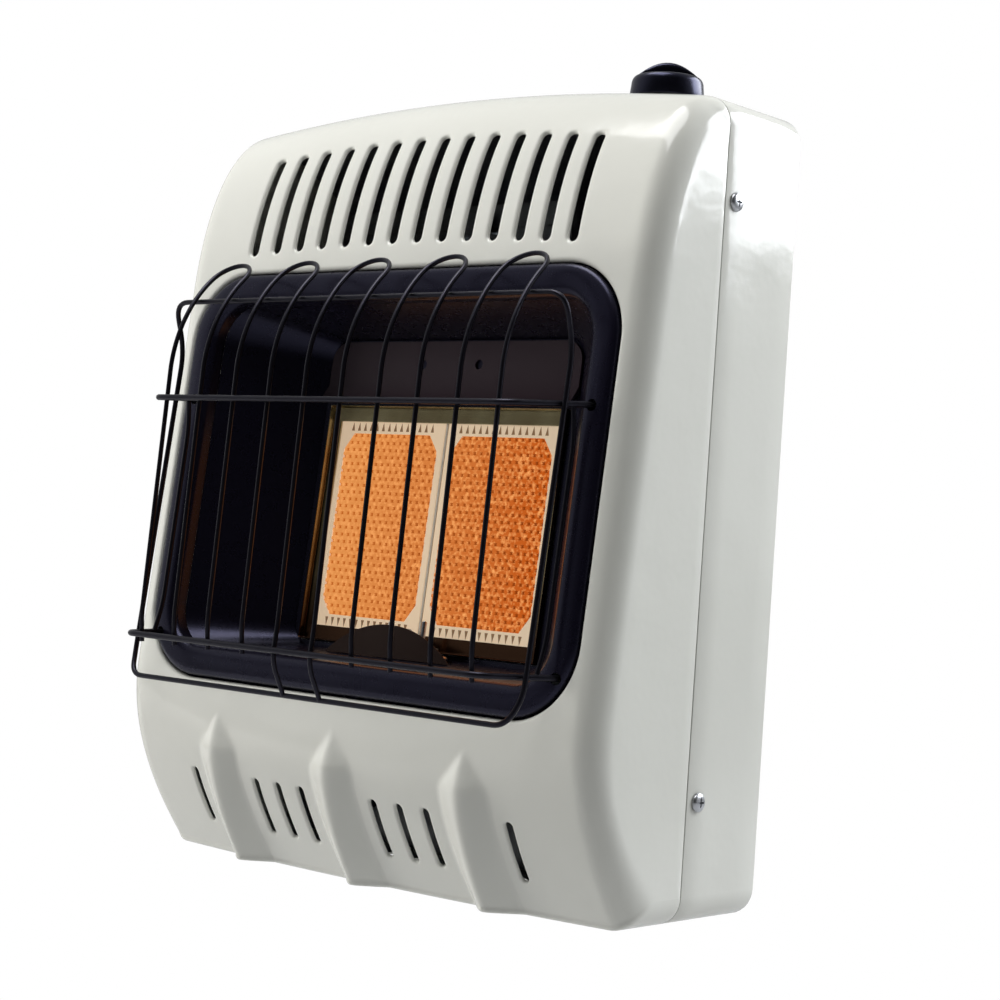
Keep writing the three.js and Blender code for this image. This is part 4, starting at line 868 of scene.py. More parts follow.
def side_flange(side):
    bpy.ops.mesh.primitive_cube_add(size=1)
    strip = bpy.context.object
    strip.location = casing_place(
        side * (HALF_WIDTH - FLANGE_INSET - SHEET / 2),
        SEAM_Y + (COVER_FLANGE - FLANGE_OVERLAP) / 2,
        (BOTTOM_Z + UPPER_CORNER_Z) / 2,
    )
    strip.scale = Vector(
        (SHEET, COVER_FLANGE + FLANGE_OVERLAP, UPPER_CORNER_Z - BOTTOM_Z - FLANGE_SHORTER)) * MM
    at_origin(strip)
    finished(strip, "BEVEL", width=0.4 * MM, segments=2)
    return strip


for vertex in cover.data.vertices:
    vertex.co = pressed(vertex.co)
edit(cover)
bpy.ops.mesh.select_all(action="SELECT")
bpy.ops.mesh.remove_doubles(threshold=0.02 * MM)
deselect()
finished(cover, "SOLIDIFY", thickness=SHEET * MM, offset=-1)
cover = joined("front_cover_pressing", [cover, side_flange(-1), side_flange(1)])
smooth(cover, 50)
stands_for(cover, "front_cover")

# %% [markdown]
# Much of the rest is drawn sheet: one outline that changes size as it goes back. "drawn" makes such
# a skin. It starts from a circle primitive, lays its vertices on the first outline, and extrudes the
# ring once for every further outline. Each vertex carries its number round the ring, so that it
# finds its place on the next one. "holes_cut" takes cutters away from a piece.

# %% Drawn sheet and cutters


def drawn(name, outlines, ends=False):
    count = len(outlines[0])
    deselect()
    bpy.ops.mesh.primitive_circle_add(vertices=count, radius=1)
    piece = bpy.context.object
    piece.name = name
    number = piece.data.attributes.new("number", "INT", "POINT")
    for i, vertex in enumerate(piece.data.vertices):
        number.data[i].value = i
        vertex.co = outlines[0][i]
    edit(piece, "EDGE")
    bpy.ops.mesh.select_all(action="SELECT")
    for outline in outlines[1:]:
        bpy.ops.mesh.extrude_edges_move()
        mesh = bmesh.from_edit_mesh(piece.data)
        layer = mesh.verts.layers.int["number"]
        for vertex in mesh.verts:
            if vertex.select:
                vertex.co = outline[vertex[layer]]
        bmesh.update_edit_mesh(piece.data)
    if ends:
        bpy.ops.mesh.edge_face_add()
        bpy.ops.mesh.select_all(action="DESELECT")
        pick(piece, "EDGE", lambda e: e.is_boundary)
        bpy.ops.mesh.edge_face_add()
    bpy.ops.mesh.select_all(action="SELECT")
    bpy.ops.mesh.normals_make_consistent(inside=False)
    deselect()
    return piece


def faces_out(piece, towards):
    """Turns a skin's normals round if its first face doesn't look the way it should."""
    face = piece.data.polygons[0]
    if face.normal.dot(towards(face.center)) < 0:
        edit(piece)
        bpy.ops.mesh.select_all(action="SELECT")
        bpy.ops.mesh.flip_normals()
        deselect()


def round_cutter(place, along, radius, length):
    deselect()
    bpy.ops.mesh.primitive_cylinder_add(vertices=32, radius=radius * MM, depth=length * MM)
    cutter = bpy.context.object
    cutter.matrix_world = Matrix.Translation(place) @ along.to_track_quat("Z", "Y").to_matrix().to_4x4()
    at_origin(cutter)
    return cutter


def slot_cutter(low, high, radius):
    """A slot cut straight down, given by its corners, with ends of a radius."""
    deselect()
    middle, size = (low + high) / 2, high - low
    bpy.ops.mesh.primitive_cube_add(size=1, location=middle)
    cutter = bpy.context.object
    cutter.scale = size
    at_origin(cutter)
    edit(cutter, "EDGE")
    pick(cutter, "EDGE", lambda e: abs((e.verts[0].co - e.verts[1].co).z) > size.z / 2)
    bpy.ops.mesh.bevel(offset=radius * MM * 0.999, segments=8)
    deselect()
    return cutter


def holes_cut(piece, cutters):
    cutter = joined("cutters", cutters) if len(cutters) > 1 else cutters[0]
    finished(piece, "BOOLEAN", operation="DIFFERENCE", solver="EXACT", object=cutter)
    deselect()
    cutter.select_set(True)
    bpy.ops.object.delete()


print("drawing and cutting helpers ready")

# %% [markdown]
# ## The rear cabinet
#
# The cabinet is a strip of sheet wrapped round in one go: sides, arched top and bottom, with a
# flange turned in at the rear that the back panel is screwed to. Its front edge, the seam, is
# slightly rounded, because enamel draws back from a sharp edge. A hollowed box would need its arch
# bent afterwards, while an outline drawn backwards has the arch from the start. Slots in its floor
# let air in, and round holes let the gas pipe and the knob's stem through.

# %% Rear cabinet
REAR_FLANGE, REAR_BEND = 14, 2.2
KNOB_X, KNOB_Y, KNOB_HOLE = 114.5, -40, 10
PIPE_X, PIPE_Y, PIPE_HOLE = 140, -45, 17
FLOOR_SLOTS, FLOOR_SLOT_WIDTH = [-150 + 27 * i for i in range(9)], 14
FLOOR_SLOT_FRONT, FLOOR_SLOT_REAR = -62, -34
UP = Vector((0, 0, 1))


def casing_outline(inset):
    corner = CORNER_RADIUS - inset
    lean = math.atan2(UPPER_CORNER_Z - ARCH_CENTRE_Z, CORNER_X)
    low = BOTTOM_Z + CORNER_RADIUS
    return [
        *arc(CORNER_X, low, corner, -QUARTER, 0, 8),
        *arc(CORNER_X, UPPER_CORNER_Z, corner, 0, lean, 8),
        *arc(0, ARCH_CENTRE_Z, ARCH_RADIUS - inset, lean, math.pi - lean, 40)[1:-1],
        *arc(-CORNER_X, UPPER_CORNER_Z, corner, math.pi - lean, math.pi, 8),
        *arc(-CORNER_X, low, corner, math.pi, 3 * QUARTER, 8),
    ]


cabinet_rows = [(0.6, SEAM_Y), (0.18, SEAM_Y + 0.18), (0, SEAM_Y + 0.6)]
cabinet_rows += [(0, SEAM_Y + (REAR_Y - REAR_BEND - SEAM_Y) * t / 4) for t in (1, 2, 3, 4)]
cabinet_rows += [(REAR_BEND * (1 - math.cos(t * QUARTER / 4)),
                  REAR_Y - REAR_BEND * (1 - math.sin(t * QUARTER / 4))) for t in (1, 2, 3, 4)]
cabinet_rows += [(REAR_FLANGE, REAR_Y)]
cabinet = drawn("rear_cabinet_wrap", [
    [casing_place(x, y, z) for x, z in casing_outline(inset)] for inset, y in cabinet_rows])
faces_out(cabinet, lambda centre: Vector((centre.x, 0, centre.z + WALL_HANG * MM)))
finished(cabinet, "SOLIDIFY", thickness=SHEET * MM, offset=-1)
holes_cut(cabinet, [
    *[slot_cutter(casing_place(x - FLOOR_SLOT_WIDTH / 2, FLOOR_SLOT_FRONT, BOTTOM_Z - 5),
                  casing_place(x + FLOOR_SLOT_WIDTH / 2, FLOOR_SLOT_REAR, BOTTOM_Z + 5),
                  FLOOR_SLOT_WIDTH / 2)
      for x in FLOOR_SLOTS],
    round_cutter(casing_place(PIPE_X, PIPE_Y, BOTTOM_Z), UP, PIPE_HOLE, 12),
    round_cutter(casing_place(KNOB_X, KNOB_Y, CROWN_Z - 5), UP, KNOB_HOLE, 20),
])
smooth(cabinet, 40)
stands_for(cabinet, "rear_cabinet")

# %% [markdown]
# ## Screws
#
# All the casing's screws are the same pan head screw with a cross recess. A bevelled cylinder would
# make a flat head, so a lathe-like stack of rings gives it its low crown, and a cross of two thin
# blocks is cut out of it. The head is modelled once. Each screw is a copy with its own mesh, turned
# and placed where its CAD node is.

# %% Pan head screws
HEAD_RADIUS, HEAD_HEIGHT = 5.5, 2.6
HEAD_PROFILE = [(0.99, 0), (1, 0.1), (0.99, 0.35), (0.93, 0.58), (0.8, 0.78), (0.6, 0.92),
                (0.35, 0.98), (0.15, 1)]
CROSS_WIDTH, CROSS_LENGTH, CROSS_DEPTH = 1.1, 5.4, 1.6
SHANK_SHARE = 0.4               # the shank's radius, as a share of the head's


def turned(name, profile, sides=32):
    """A solid of revolution about Z, from rows of radius and height in millimetres."""
    rings = [[Vector((r * math.cos(i * math.tau / sides), r * math.sin(i * math.tau / sides), h)) * MM
              for i in range(sides)] for r, h in profile]
    return drawn(name, rings, ends=True)


def pan_head():
    head = turned("screw", [(r * HEAD_RADIUS, h * HEAD_HEIGHT) for r, h in HEAD_PROFILE])
    for width, length in ((CROSS_WIDTH, CROSS_LENGTH), (CROSS_LENGTH, CROSS_WIDTH)):
        low = Vector((-width / 2, -length / 2, HEAD_HEIGHT - CROSS_DEPTH)) * MM
        high = Vector((width / 2, length / 2, HEAD_HEIGHT + 1)) * MM
        holes_cut(head, [slot_cutter(low, high, 0.3)])
    smooth(head, 40)
    return head


HEAD_MODEL = pan_head()


def screw_for(node, out):
    """A copy of the head, and a plain shank, where a CAD screw is. Out is the way the head looks."""
    low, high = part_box(node)
    middle = (low + high) / 2
    span = high - low
    axis = max(range(3), key=lambda i: abs(out[i]))
    face = high[axis] if out[axis] > 0 else low[axis]
    seat = middle.copy()
    seat[axis] = face - out[axis] * HEAD_HEIGHT * MM
    across = max(span[i] for i in range(3) if i != axis) / 2
    take(HEAD_MODEL)
    bpy.ops.object.duplicate()
    head = bpy.context.object
    size = across / (HEAD_RADIUS * MM)
    turn = out.to_track_quat("Z", "Y").to_matrix().to_4x4()
    head.matrix_world = Matrix.Translation(seat) @ turn @ Matrix.Diagonal((size, size, 1, 1))
    at_origin(head)
    shank_length = span[axis] - HEAD_HEIGHT * MM
    deselect()
    bpy.ops.mesh.primitive_cylinder_add(vertices=16, radius=across * SHANK_SHARE, depth=shank_length)
    shank = bpy.context.object
    shank.matrix_world = Matrix.Translation(seat - out * shank_length / 2) @ turn
    at_origin(shank)
    smooth(shank, 40)
    screw = joined(node + "_pan", [head, shank])
    stands_for(screw, node)


RIGHT, REAR = Vector((1, 0, 0)), Vector((0, 1, 0))
for number in (1, 2, 3, 4):
    is_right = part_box(f"side_screw_{number}")[0].x > 0
    screw_for(f"side_screw_{number}", RIGHT if is_right else -RIGHT)
    screw_for(f"back_screw_{number}", REAR)
deselect()
HEAD_MODEL.select_set(True)
bpy.ops.object.delete()
print("8 casing screws")

# %% [markdown]
# ## The bezel and the firebox liner
#
# The black bezel is drawn from one sheet: an outer rim behind the cover, a rolled ridge, a flat
# trough for the guard's ends, and a second, wider roll that leads into the firebox. The liner is a
# funnel that goes on from there to the burner. A bevelled frame would have one round edge only, so
# both are drawn from outlines on the sloping front that grow or shrink with depth.

# %% Bezel and liner
THIN_SHEET = 0.9
UPPER_BAR, LOWER_BAR = 39.9, -106.1           # heights of the guard's cross bars
HOOK_RISE = {UPPER_BAR: 47.9, LOWER_BAR: -102.1}  # and of the holes that their ends hook into
GUARD_HOLE_X, GUARD_HOLE_RADIUS = 162, 3.4
BEZEL_ROWS = [                                # how far out and how deep each outline lies
    (4, 5.2), (-0.5, 5.2), (-1.1, 4.7), (-1.2, 0.9), (-1.5, -0.4), (-2.3, -1.4), (-3.6, -2.1),
    (-5.5, -2.5), (-9, -2.75), (-13.5, -2.8), (-15.5, -2.5), (-17.2, -1.8), (-18.6, -0.6),
    (-19.5, 0.9), (-19.9, 2.6), (-20, 8),
]
LINER_FRONT = (153.5, -107.5, 110, 25, 8.3)   # half width, low, high, corner radius, depth
LINER_REAR = (103.95, -97.5, 98.5, 14, 58)
GAP_HALF, GAP_FRONT, GAP_REAR = 22, 43.5, 54.5  # gap in the liner's floor, over the pilot


def rounded_rect(half, low, high, radius, steps=12):
    x = half - radius
    return [
        *arc(x, low + radius, radius, -QUARTER, 0, steps),
        *arc(x, high - radius, radius, 0, QUARTER, steps),
        *arc(-x, high - radius, radius, QUARTER, 2 * QUARTER, steps),
        *arc(-x, low + radius, radius, 2 * QUARTER, 3 * QUARTER, steps),
    ]


def on_slope(outline, depth):
    return [slope_place(x, depth, rise) for x, rise in outline]


def bezel_outline(grow, depth):
    return on_slope(rounded_rect(OPENING_HALF + grow, OPENING_LOW - grow, OPENING_HIGH + grow,
                                 OPENING_RADIUS + grow), depth)


def liner_outline(share):
    half, low, high, radius, depth = [a + (b - a) * share for a, b in zip(LINER_FRONT, LINER_REAR)]
    return on_slope(rounded_rect(half, low, high, radius), depth)


INTO = slope_place(0, 1, 0) - slope_place(0, 0, 0)
bezel = drawn("front_bezel_drawing", [bezel_outline(*row) for row in BEZEL_ROWS])
faces_out(bezel, lambda centre: -INTO)
finished(bezel, "SOLIDIFY", thickness=THIN_SHEET * MM, offset=-1)
holes_cut(bezel, [round_cutter(slope_place(side * GUARD_HOLE_X, 0, rise), INTO, GUARD_HOLE_RADIUS, 24)
                  for rise in HOOK_RISE.values() for side in (-1, 1)])
smooth(bezel, 40)
stands_for(bezel, "front_bezel")

liner = drawn("firebox_liner_funnel", [liner_outline(t / 6) for t in range(7)])
faces_out(liner, lambda centre: slope_place(0, 30, 0) - centre)
finished(liner, "SOLIDIFY", thickness=THIN_SHEET * MM, offset=-1)
holes_cut(liner, [slot_cutter(slope_place(-GAP_HALF, GAP_FRONT, -112),
                              slope_place(GAP_HALF, GAP_REAR, -86), 3)])
smooth(liner, 40)
stands_for(liner, "firebox_liner")

# %% [markdown]
# ## The wire guard
#
# The guard is bent from round wire and spot welded: five hoops, one ring round the opening, two
# cross bars whose ends hook into the bezel, and a short wire at each side. Each wire is a path with
# rounded bends, given a round section and made into a mesh, which keeps the wire's thickness even
# round every bend, as extruding rings by hand would not. Where two wires cross, the weld leaves a
# small bead.

# %% Wire paths
HOOPS, LEG_PITCH = 5, 30
HOOP_RADIUS, BAR_RADIUS, RING_RADIUS = 1.45, 1.9, 1.6
BAR_DEPTH = {UPPER_BAR: -50.8, LOWER_BAR: -44.7}
BEND_START, TOP_BEND, TOP_SWING = 60, 90, math.radians(41.3)
RING_LOW, RING_HIGH, RING_HALF = -131, 104, 158.5
SIDE_X = 157                    # the short wires at the sides


def bends(corners, radius, steps=8):
    """Rounds the corners of a path with short curves."""
    path = [corners[0]]
    for before, corner, after in zip(corners, corners[1:], corners[2:]):
        back, on = before - corner, after - corner
        reach = min(radius, back.length * 0.49, on.length * 0.49)
        start, end = corner + back.normalized() * reach, corner + on.normalized() * reach
        for i in range(steps + 1):
            t = i / steps
            path.append(start * (1 - t) ** 2 + corner * 2 * t * (1 - t) + end * t * t)
    return path + [corners[-1]]


def wire(path, radius):
    """Round wire along a path of (across, depth, rise) on the slope."""
    deselect()
    bpy.ops.curve.primitive_nurbs_path_add()
    piece = bpy.context.object
    curve = piece.data
    curve.splines.clear()
    spline = curve.splines.new("POLY")
    spline.points.add(len(path) - 1)
    for point, place in zip(spline.points, path):
        point.co = (*slope_place(*place), 1)
    curve.bevel_depth = radius * MM
    curve.bevel_resolution = 3
    curve.use_fill_caps = True
    bpy.ops.object.convert(target="MESH")
    smooth(piece, 60)
    return piece


def leg_depth(rise):
    lean = (BAR_DEPTH[LOWER_BAR] - BAR_DEPTH[UPPER_BAR]) / (UPPER_BAR - LOWER_BAR)
    return BAR_DEPTH[UPPER_BAR] + lean * (UPPER_BAR - rise) + HOOP_RADIUS + 1.3


def hoop_leg(x, middle):
    """From the foot up to where the U at the top starts."""
    if middle:
        foot = [Vector((x, -30, RING_LOW)), Vector((x, leg_depth(LOWER_BAR) - 1, LOWER_BAR - 6))]
    else:
        foot = [Vector((x, leg_depth(LOWER_BAR) + 3, LOWER_BAR - 4))]
    low = LOWER_BAR + 12
    straight = bends([*foot, Vector((x, leg_depth(low), low)),
                      Vector((x, leg_depth(BEND_START), BEND_START))], 16)
    swing = [Vector((x, leg_depth(BEND_START) + TOP_BEND * (1 - math.cos(TOP_SWING * t / 14)),
                     BEND_START + TOP_BEND * math.sin(TOP_SWING * t / 14))) for t in range(1, 15)]
    return straight + swing


def hoop(number):
    left = (2 * number - (HOOPS * 2 - 1) / 2) * LEG_PITCH
    middle = number == HOOPS // 2
    up, down = hoop_leg(left, middle), hoop_leg(left + LEG_PITCH, middle)
    root = (up[-1] + down[-1]) / 2
    lean = Vector((0, math.sin(TOP_SWING), math.cos(TOP_SWING)))
    half = LEG_PITCH / 2
    turns = [t * math.pi / 16 for t in range(1, 16)]
    cap = [root + Vector((-half * math.cos(turn), 0, 0)) + lean * half * math.sin(turn) for turn in turns]
    return wire(up + cap + down[::-1], HOOP_RADIUS)


def mirrored(half_path):
    """A path over both halves, from its right half that starts in the middle or near it."""
    left = [Vector((-p.x, p.y, p.z)) for p in reversed(half_path)]
    return left + half_path


def bar(rise):
    half = [Vector((143.5, BAR_DEPTH[rise], rise)), Vector((GUARD_HOLE_X - 1, -4, HOOK_RISE[rise])),
            Vector((GUARD_HOLE_X, 5, HOOK_RISE[rise]))]
    return wire(bends(mirrored(half), 9), BAR_RADIUS)


def guard_ring():
    corners = [Vector(p) for p in (
        (0, -30, RING_LOW), (152.5, -28, RING_LOW), (RING_HALF, -23, -115), (RING_HALF, -20.5, 76),
        (RING_HALF, -33, RING_HIGH), (0, -33, RING_HIGH))]
    right = bends(corners, 12)
    left = [Vector((-p.x, p.y, p.z)) for p in reversed(right)]
    return [wire(right, RING_RADIUS), wire(left, RING_RADIUS)]


def side_wire(side):
    path = [(SIDE_X, -12, HOOK_RISE[UPPER_BAR]), (SIDE_X + 0.5, -8, UPPER_BAR - 12),
            (SIDE_X, -8, LOWER_BAR + 22), (SIDE_X - 0.5, -12, HOOK_RISE[LOWER_BAR])]
    return wire(bends([Vector((side * x, depth, rise)) for x, depth, rise in path], 12), HOOP_RADIUS)


def weld(x, depth, rise):
    deselect()
    bpy.ops.mesh.primitive_uv_sphere_add(segments=12, ring_count=7, radius=1.9 * MM,
                                         location=slope_place(x, depth, rise))
    bead = bpy.context.object
    bead.scale = (1.15, 0.9, 1)
    at_origin(bead)
    smooth(bead, 60)
    return bead


guard = [hoop(i) for i in range(HOOPS)]
guard += [bar(UPPER_BAR), bar(LOWER_BAR), *guard_ring(), side_wire(-1), side_wire(1)]
leg_xs = [(i - (HOOPS * 2 - 1) / 2) * LEG_PITCH for i in range(HOOPS * 2)]
guard += [weld(x, leg_depth(rise) - 1.3, rise) for x in leg_xs for rise in (UPPER_BAR, LOWER_BAR)]
stands_for(joined("wire_guard_wires", guard), "wire_guard")

# %% [markdown]
# ## The glowing plaques
#
# A radiant plaque is a slab of porous ceramic, pressed with hundreds of small star shaped pits in a
# honeycomb, and plain at its rim. Gas burns in the pits, so the middle glows and the rim only gets
# warm. A bump map would leave the pits flat at the plaque's edge, so they are real. One pit is
# modelled from rings, repeated by Array modifiers into two staggered rows and then into a sheet, and
# trimmed at the corners. An attribute tells the material what is hot, and it is lower at the pit
# bottoms as painted shade.

# %% One plaque
PLAQUE_WIDTH, PLAQUE_HEIGHT, PLAQUE_THICKNESS = 90, 132, 12
TILE_PITCH = 5.25
ROW_PITCH = TILE_PITCH * math.sqrt(3) / 2
TILES_ACROSS, TILE_ROWS = 16, 26
PIT_DEPTH = 1.5
TRIM_X, TRIM_Y = 7.6, 10.5
RIM_HEIGHT, OVERLAP = 0.05, 1.9  # the plain rim laps over the ends of the rows of pits
TICKS, TICK_LENGTH, TICK_HALF = 14, 5.5, 1.3


def marked(piece, value_of):
    """Writes the glow attribute, whose value comes from each vertex's place."""
    glow_and_shade = piece.data.attributes.get("glow_and_shade") or piece.data.attributes.new("glow_and_shade", "FLOAT", "POINT")
    for vertex, mark in zip(piece.data.vertices, glow_and_shade.data):
        mark.value = value_of(vertex.co)
    return piece


def star(outer, inner, height):
    return [Vector(((outer if i % 2 else inner) * math.cos(i * math.tau / 12),
                    (outer if i % 2 else inner) * math.sin(i * math.tau / 12), height)) * MM
            for i in range(12)]


def honeycomb():
    flat = TILE_PITCH / 2
    corner = flat / math.cos(math.pi / 6)
    tile = drawn("pit", [
        star(corner, flat, -0.25), star(corner * 0.97, flat * 0.97, 0), star(corner * 0.72, flat * 0.42, 0),
        star(corner * 0.6, flat * 0.32, -PIT_DEPTH)])
    edit(tile, "EDGE")
    pick(tile, "EDGE", lambda e: all(v.co.z < -0.9 * PIT_DEPTH * MM for v in e.verts))
    bpy.ops.mesh.edge_face_add()
    deselect()
    faces_out(tile, lambda centre: UP)
    # Painted shade: the pit bottoms get a lower glow value than the pit rims.
    marked(tile, lambda co: 1 if co.z > -0.5 * MM else 0.25)
    rows = []
    for count, x, y in ((TILES_ACROSS, 0, 0), (TILES_ACROSS - 1, 0.5, 1)):
        take(tile)
        bpy.ops.object.duplicate(linked=False)
        row = bpy.context.object
        row.location = Vector((x * TILE_PITCH, y * ROW_PITCH, 0)) * MM
        at_origin(row)
        finished(row, "ARRAY", count=count, use_relative_offset=False, use_constant_offset=True,
                 constant_offset_displace=(TILE_PITCH * MM, 0, 0))
        rows.append(row)
    deselect()
    tile.select_set(True)
    bpy.ops.object.delete()
    sheet = joined("honeycomb", rows)
    finished(sheet, "ARRAY", count=TILE_ROWS // 2, use_relative_offset=False, use_constant_offset=True,
             constant_offset_displace=(0, 2 * ROW_PITCH * MM, 0))
    sheet.location = Vector(((1 - TILES_ACROSS) * TILE_PITCH / 2, (1 - TILE_ROWS) * ROW_PITCH / 2, 0)) * MM
    at_origin(sheet)
    return sheet


HOT_X, HOT_Y = TILES_ACROSS * TILE_PITCH / 2, TILE_ROWS * ROW_PITCH / 2


def beyond_trim(x, y):
    """Whether a place in millimetres lies outside the cut corners of the hot field."""
    return (abs(x) - HOT_X) / TRIM_X + (abs(y) - HOT_Y) / TRIM_Y > -1


def octagon(x, y, trim_x, trim_y, height):
    return [Vector((sx * px, sy * py, height)) * MM for sx, sy, px, py in (
        (1, -1, x - trim_x, y), (1, -1, x, y - trim_y), (1, 1, x, y - trim_y), (1, 1, x - trim_x, y),
        (-1, 1, x - trim_x, y), (-1, 1, x, y - trim_y), (-1, -1, x, y - trim_y), (-1, -1, x - trim_x, y))]


def plaque_model():
    sheet = honeycomb()
    edit(sheet)
    pick(sheet, "FACE", lambda f: beyond_trim(*(c / MM for c in f.calc_center_median().xy)))
    bpy.ops.mesh.delete(type="FACE")
    deselect()
    half_x, half_y = PLAQUE_WIDTH / 2, PLAQUE_HEIGHT / 2
    rear = -PLAQUE_THICKNESS
    body = drawn("slab", [
        octagon(HOT_X - OVERLAP, HOT_Y - 1, TRIM_X, TRIM_Y, -2.2),
        octagon(HOT_X - OVERLAP, HOT_Y - 1, TRIM_X, TRIM_Y, RIM_HEIGHT),
        octagon(half_x - 0.5, half_y - 0.5, 0.3, 0.3, RIM_HEIGHT),
        octagon(half_x, half_y, 0.3, 0.3, -0.6), octagon(half_x, half_y, 0.3, 0.3, rear)], ends=True)
    marked(body, lambda co: 0)
    ticks = []
    for side in (-1, 1):
        for i in range(TICKS):
            x = (i - (TICKS - 1) / 2) * TILE_PITCH
            root = HOT_Y + 0.7
            places = [Vector((x - TICK_HALF, side * root, 0.1)), Vector((x + TICK_HALF, side * root, 0.1)),
                      Vector((x, side * (root + TICK_LENGTH), 0.1))]
            ticks.append(drawn("tick", [[p * MM for p in places],
                                        [(p - Vector((0, 0, 0.5))) * MM for p in places]], ends=True))
    marks = marked(joined("ticks", ticks), lambda co: -1)
    return joined("plaque", [body, sheet, marks])


PLAQUE_FACE, PLAQUE_GAP, BURNER_RISE = 61.5, 1.9, -18.8
plaque = plaque_model()
smooth(plaque, 25)
print("one plaque has", len(plaque.data.polygons), "faces")

# %% [markdown]
# The ceramic's material mixes three looks by the glow attribute: a tan rim, brown press marks and
# the hot field. The hot field is mostly its own light, with painted shade at the pit bottoms. The rim
# and the press marks give off light of nearly their own colour too: painted light from the glow. The
# hot field is paler on the left, where the photograph sees it at a flatter angle, and a fine noise
# makes some pits hotter than others.

# %% Glowing ceramic


def color_mix(tree, factor, first, second):
    mix = tree.nodes.new("ShaderNodeMix")
    mix.data_type = "RGBA"
    for label, value in (("Factor", factor), ("A", first), ("B", second)):
        if isinstance(value, bpy.types.NodeSocket):
            tree.links.new(value, mix.inputs[label])
        else:
            mix.inputs[label].default_value = value
    return mix.outputs["Result"]


def map_range(tree, value, low, high, first=0.0, last=1.0):
    node = tree.nodes.new("ShaderNodeMapRange")
    for label, number in (("From Min", low), ("From Max", high), ("To Min", first), ("To Max", last)):
        node.inputs[label].default_value = number
    tree.links.new(value, node.inputs["Value"])
    return node.outputs["Result"]


def glowing_ceramic():
    material = bpy.data.materials.new("glowing_ceramic")
    material.use_nodes = True
    tree = material.node_tree
    shader = tree.nodes["Principled BSDF"]
    shader.inputs["Roughness"].default_value = 0.9
    shader.inputs["Specular IOR Level"].default_value = 0.1
    shader.inputs["Emission Strength"].default_value = 1
    mark = tree.nodes.new("ShaderNodeAttribute")
    mark.attribute_name = "glow_and_shade"
    place = tree.nodes.new("ShaderNodeTexCoord")
    split = tree.nodes.new("ShaderNodeSeparateXYZ")
    tree.links.new(place.outputs["Object"], split.inputs[0])
    noise = tree.nodes.new("ShaderNodeTexNoise")
    noise.inputs["Scale"].default_value = 420
    noise.inputs["Detail"].default_value = 2
    tree.links.new(place.outputs["Object"], noise.inputs["Vector"])
    across = map_range(tree, split.outputs["X"], -0.09, 0.09)
    hot = color_mix(tree, across, rgb(224, 146, 78), rgb(186, 79, 10))
    lit = color_mix(tree, map_range(tree, noise.outputs["Fac"], 0.45, 0.75), hot, rgb(246, 166, 96))
    # Painted shade: the pit bottoms glow in these darker colours.
    pit_shade_color = color_mix(tree, across, rgb(186, 98, 34), rgb(128, 50, 6))
    pit_shade_mix = map_range(tree, mark.outputs["Fac"], 0.25, 0.95)
    field = color_mix(tree, pit_shade_mix, pit_shade_color, lit)
    is_hot = map_range(tree, mark.outputs["Fac"], 0.0, 0.2)
    rim = color_mix(tree, across, rgb(214, 190, 160), rgb(196, 178, 152))
    dull = color_mix(tree, map_range(tree, mark.outputs["Fac"], 0.0, -0.8), rim, rgb(112, 90, 66))
    tree.links.new(color_mix(tree, is_hot, dull, rgb(70, 32, 10)), shader.inputs["Base Color"])
    # Painted light: the rim and the press marks give off light of nearly their own colour, as if lit by the
    # glow.
    rim_light_paint = color_mix(tree, 0.35, dull, rgb(70, 34, 14))
    tree.links.new(color_mix(tree, is_hot, rim_light_paint, field), shader.inputs["Emission Color"])
    fine = placed(material, FINE_GRAIN, Scale=500, Roughness=0.9, Spread=0.1)
    relief = tree.nodes.new("ShaderNodeBump")
    relief.inputs["Strength"].default_value = 1
    relief.inputs["Distance"].default_value = 0.1 * MM
    tree.links.new(fine.outputs["Height"], relief.inputs["Height"])
    tree.links.new(relief.outputs["Normal"], shader.inputs["Normal"])
    return material


FINISHES["glowing_ceramic"] = glowing_ceramic()
FINISH_OF_SLOT["ceramic"] = "glowing_ceramic"
for side, node_name in ((-1, "plaque_left"), (1, "plaque_right")):
    take(plaque)
    bpy.ops.object.duplicate(linked=False)
    slab = bpy.context.object
    slab.name = node_name + "_ceramic"
    middle = slope_place(side * (PLAQUE_GAP + PLAQUE_WIDTH) / 2, PLAQUE_FACE, BURNER_RISE)
    slab.matrix_world = Matrix.Translation(middle) @ Matrix.Rotation(QUARTER - TILT, 4, "X")
    at_origin(slab)
    stands_for(slab, node_name)
deselect()
plaque.select_set(True)
bpy.ops.object.delete()

# %% [markdown]
# ## The reflector frame
#
# A bright frame holds the plaques in the burner. It is a shallow tray with a window: its floor lies
# just in front of the ceramic's edge and its wall comes forward all round. Its section is drawn once
# round the window, so that its lips are round at the corners too. Bright new steel shows mostly the
# dark firebox, and it goes brown with heat low down, next to the pilot flame.

# %% Reflector frame
WINDOW_HALF, WINDOW_HALF_HEIGHT = 90.45, 65.5
FRAME_HALF, FRAME_HALF_HEIGHT = 97.45, 75.3
FRAME_ROWS = [                  # share of the way from window to rim, and depth
    (0, 60.9), (0, 60.2), (0.06, 59.95), (0.78, 59.95), (0.87, 59.7), (0.90, 59.2), (0.91, 56.3),
    (0.93, 55.7), (0.96, 55.5), (0.99, 55.7), (1, 56.1), (1, 60.9), (0, 60.9),
]


def frame_outline(share, depth):
    half = WINDOW_HALF + (FRAME_HALF - WINDOW_HALF) * share
    high = WINDOW_HALF_HEIGHT + (FRAME_HALF_HEIGHT - WINDOW_HALF_HEIGHT) * share
    return on_slope(rounded_rect(half, BURNER_RISE - high, BURNER_RISE + high, 0.8, 3), depth)


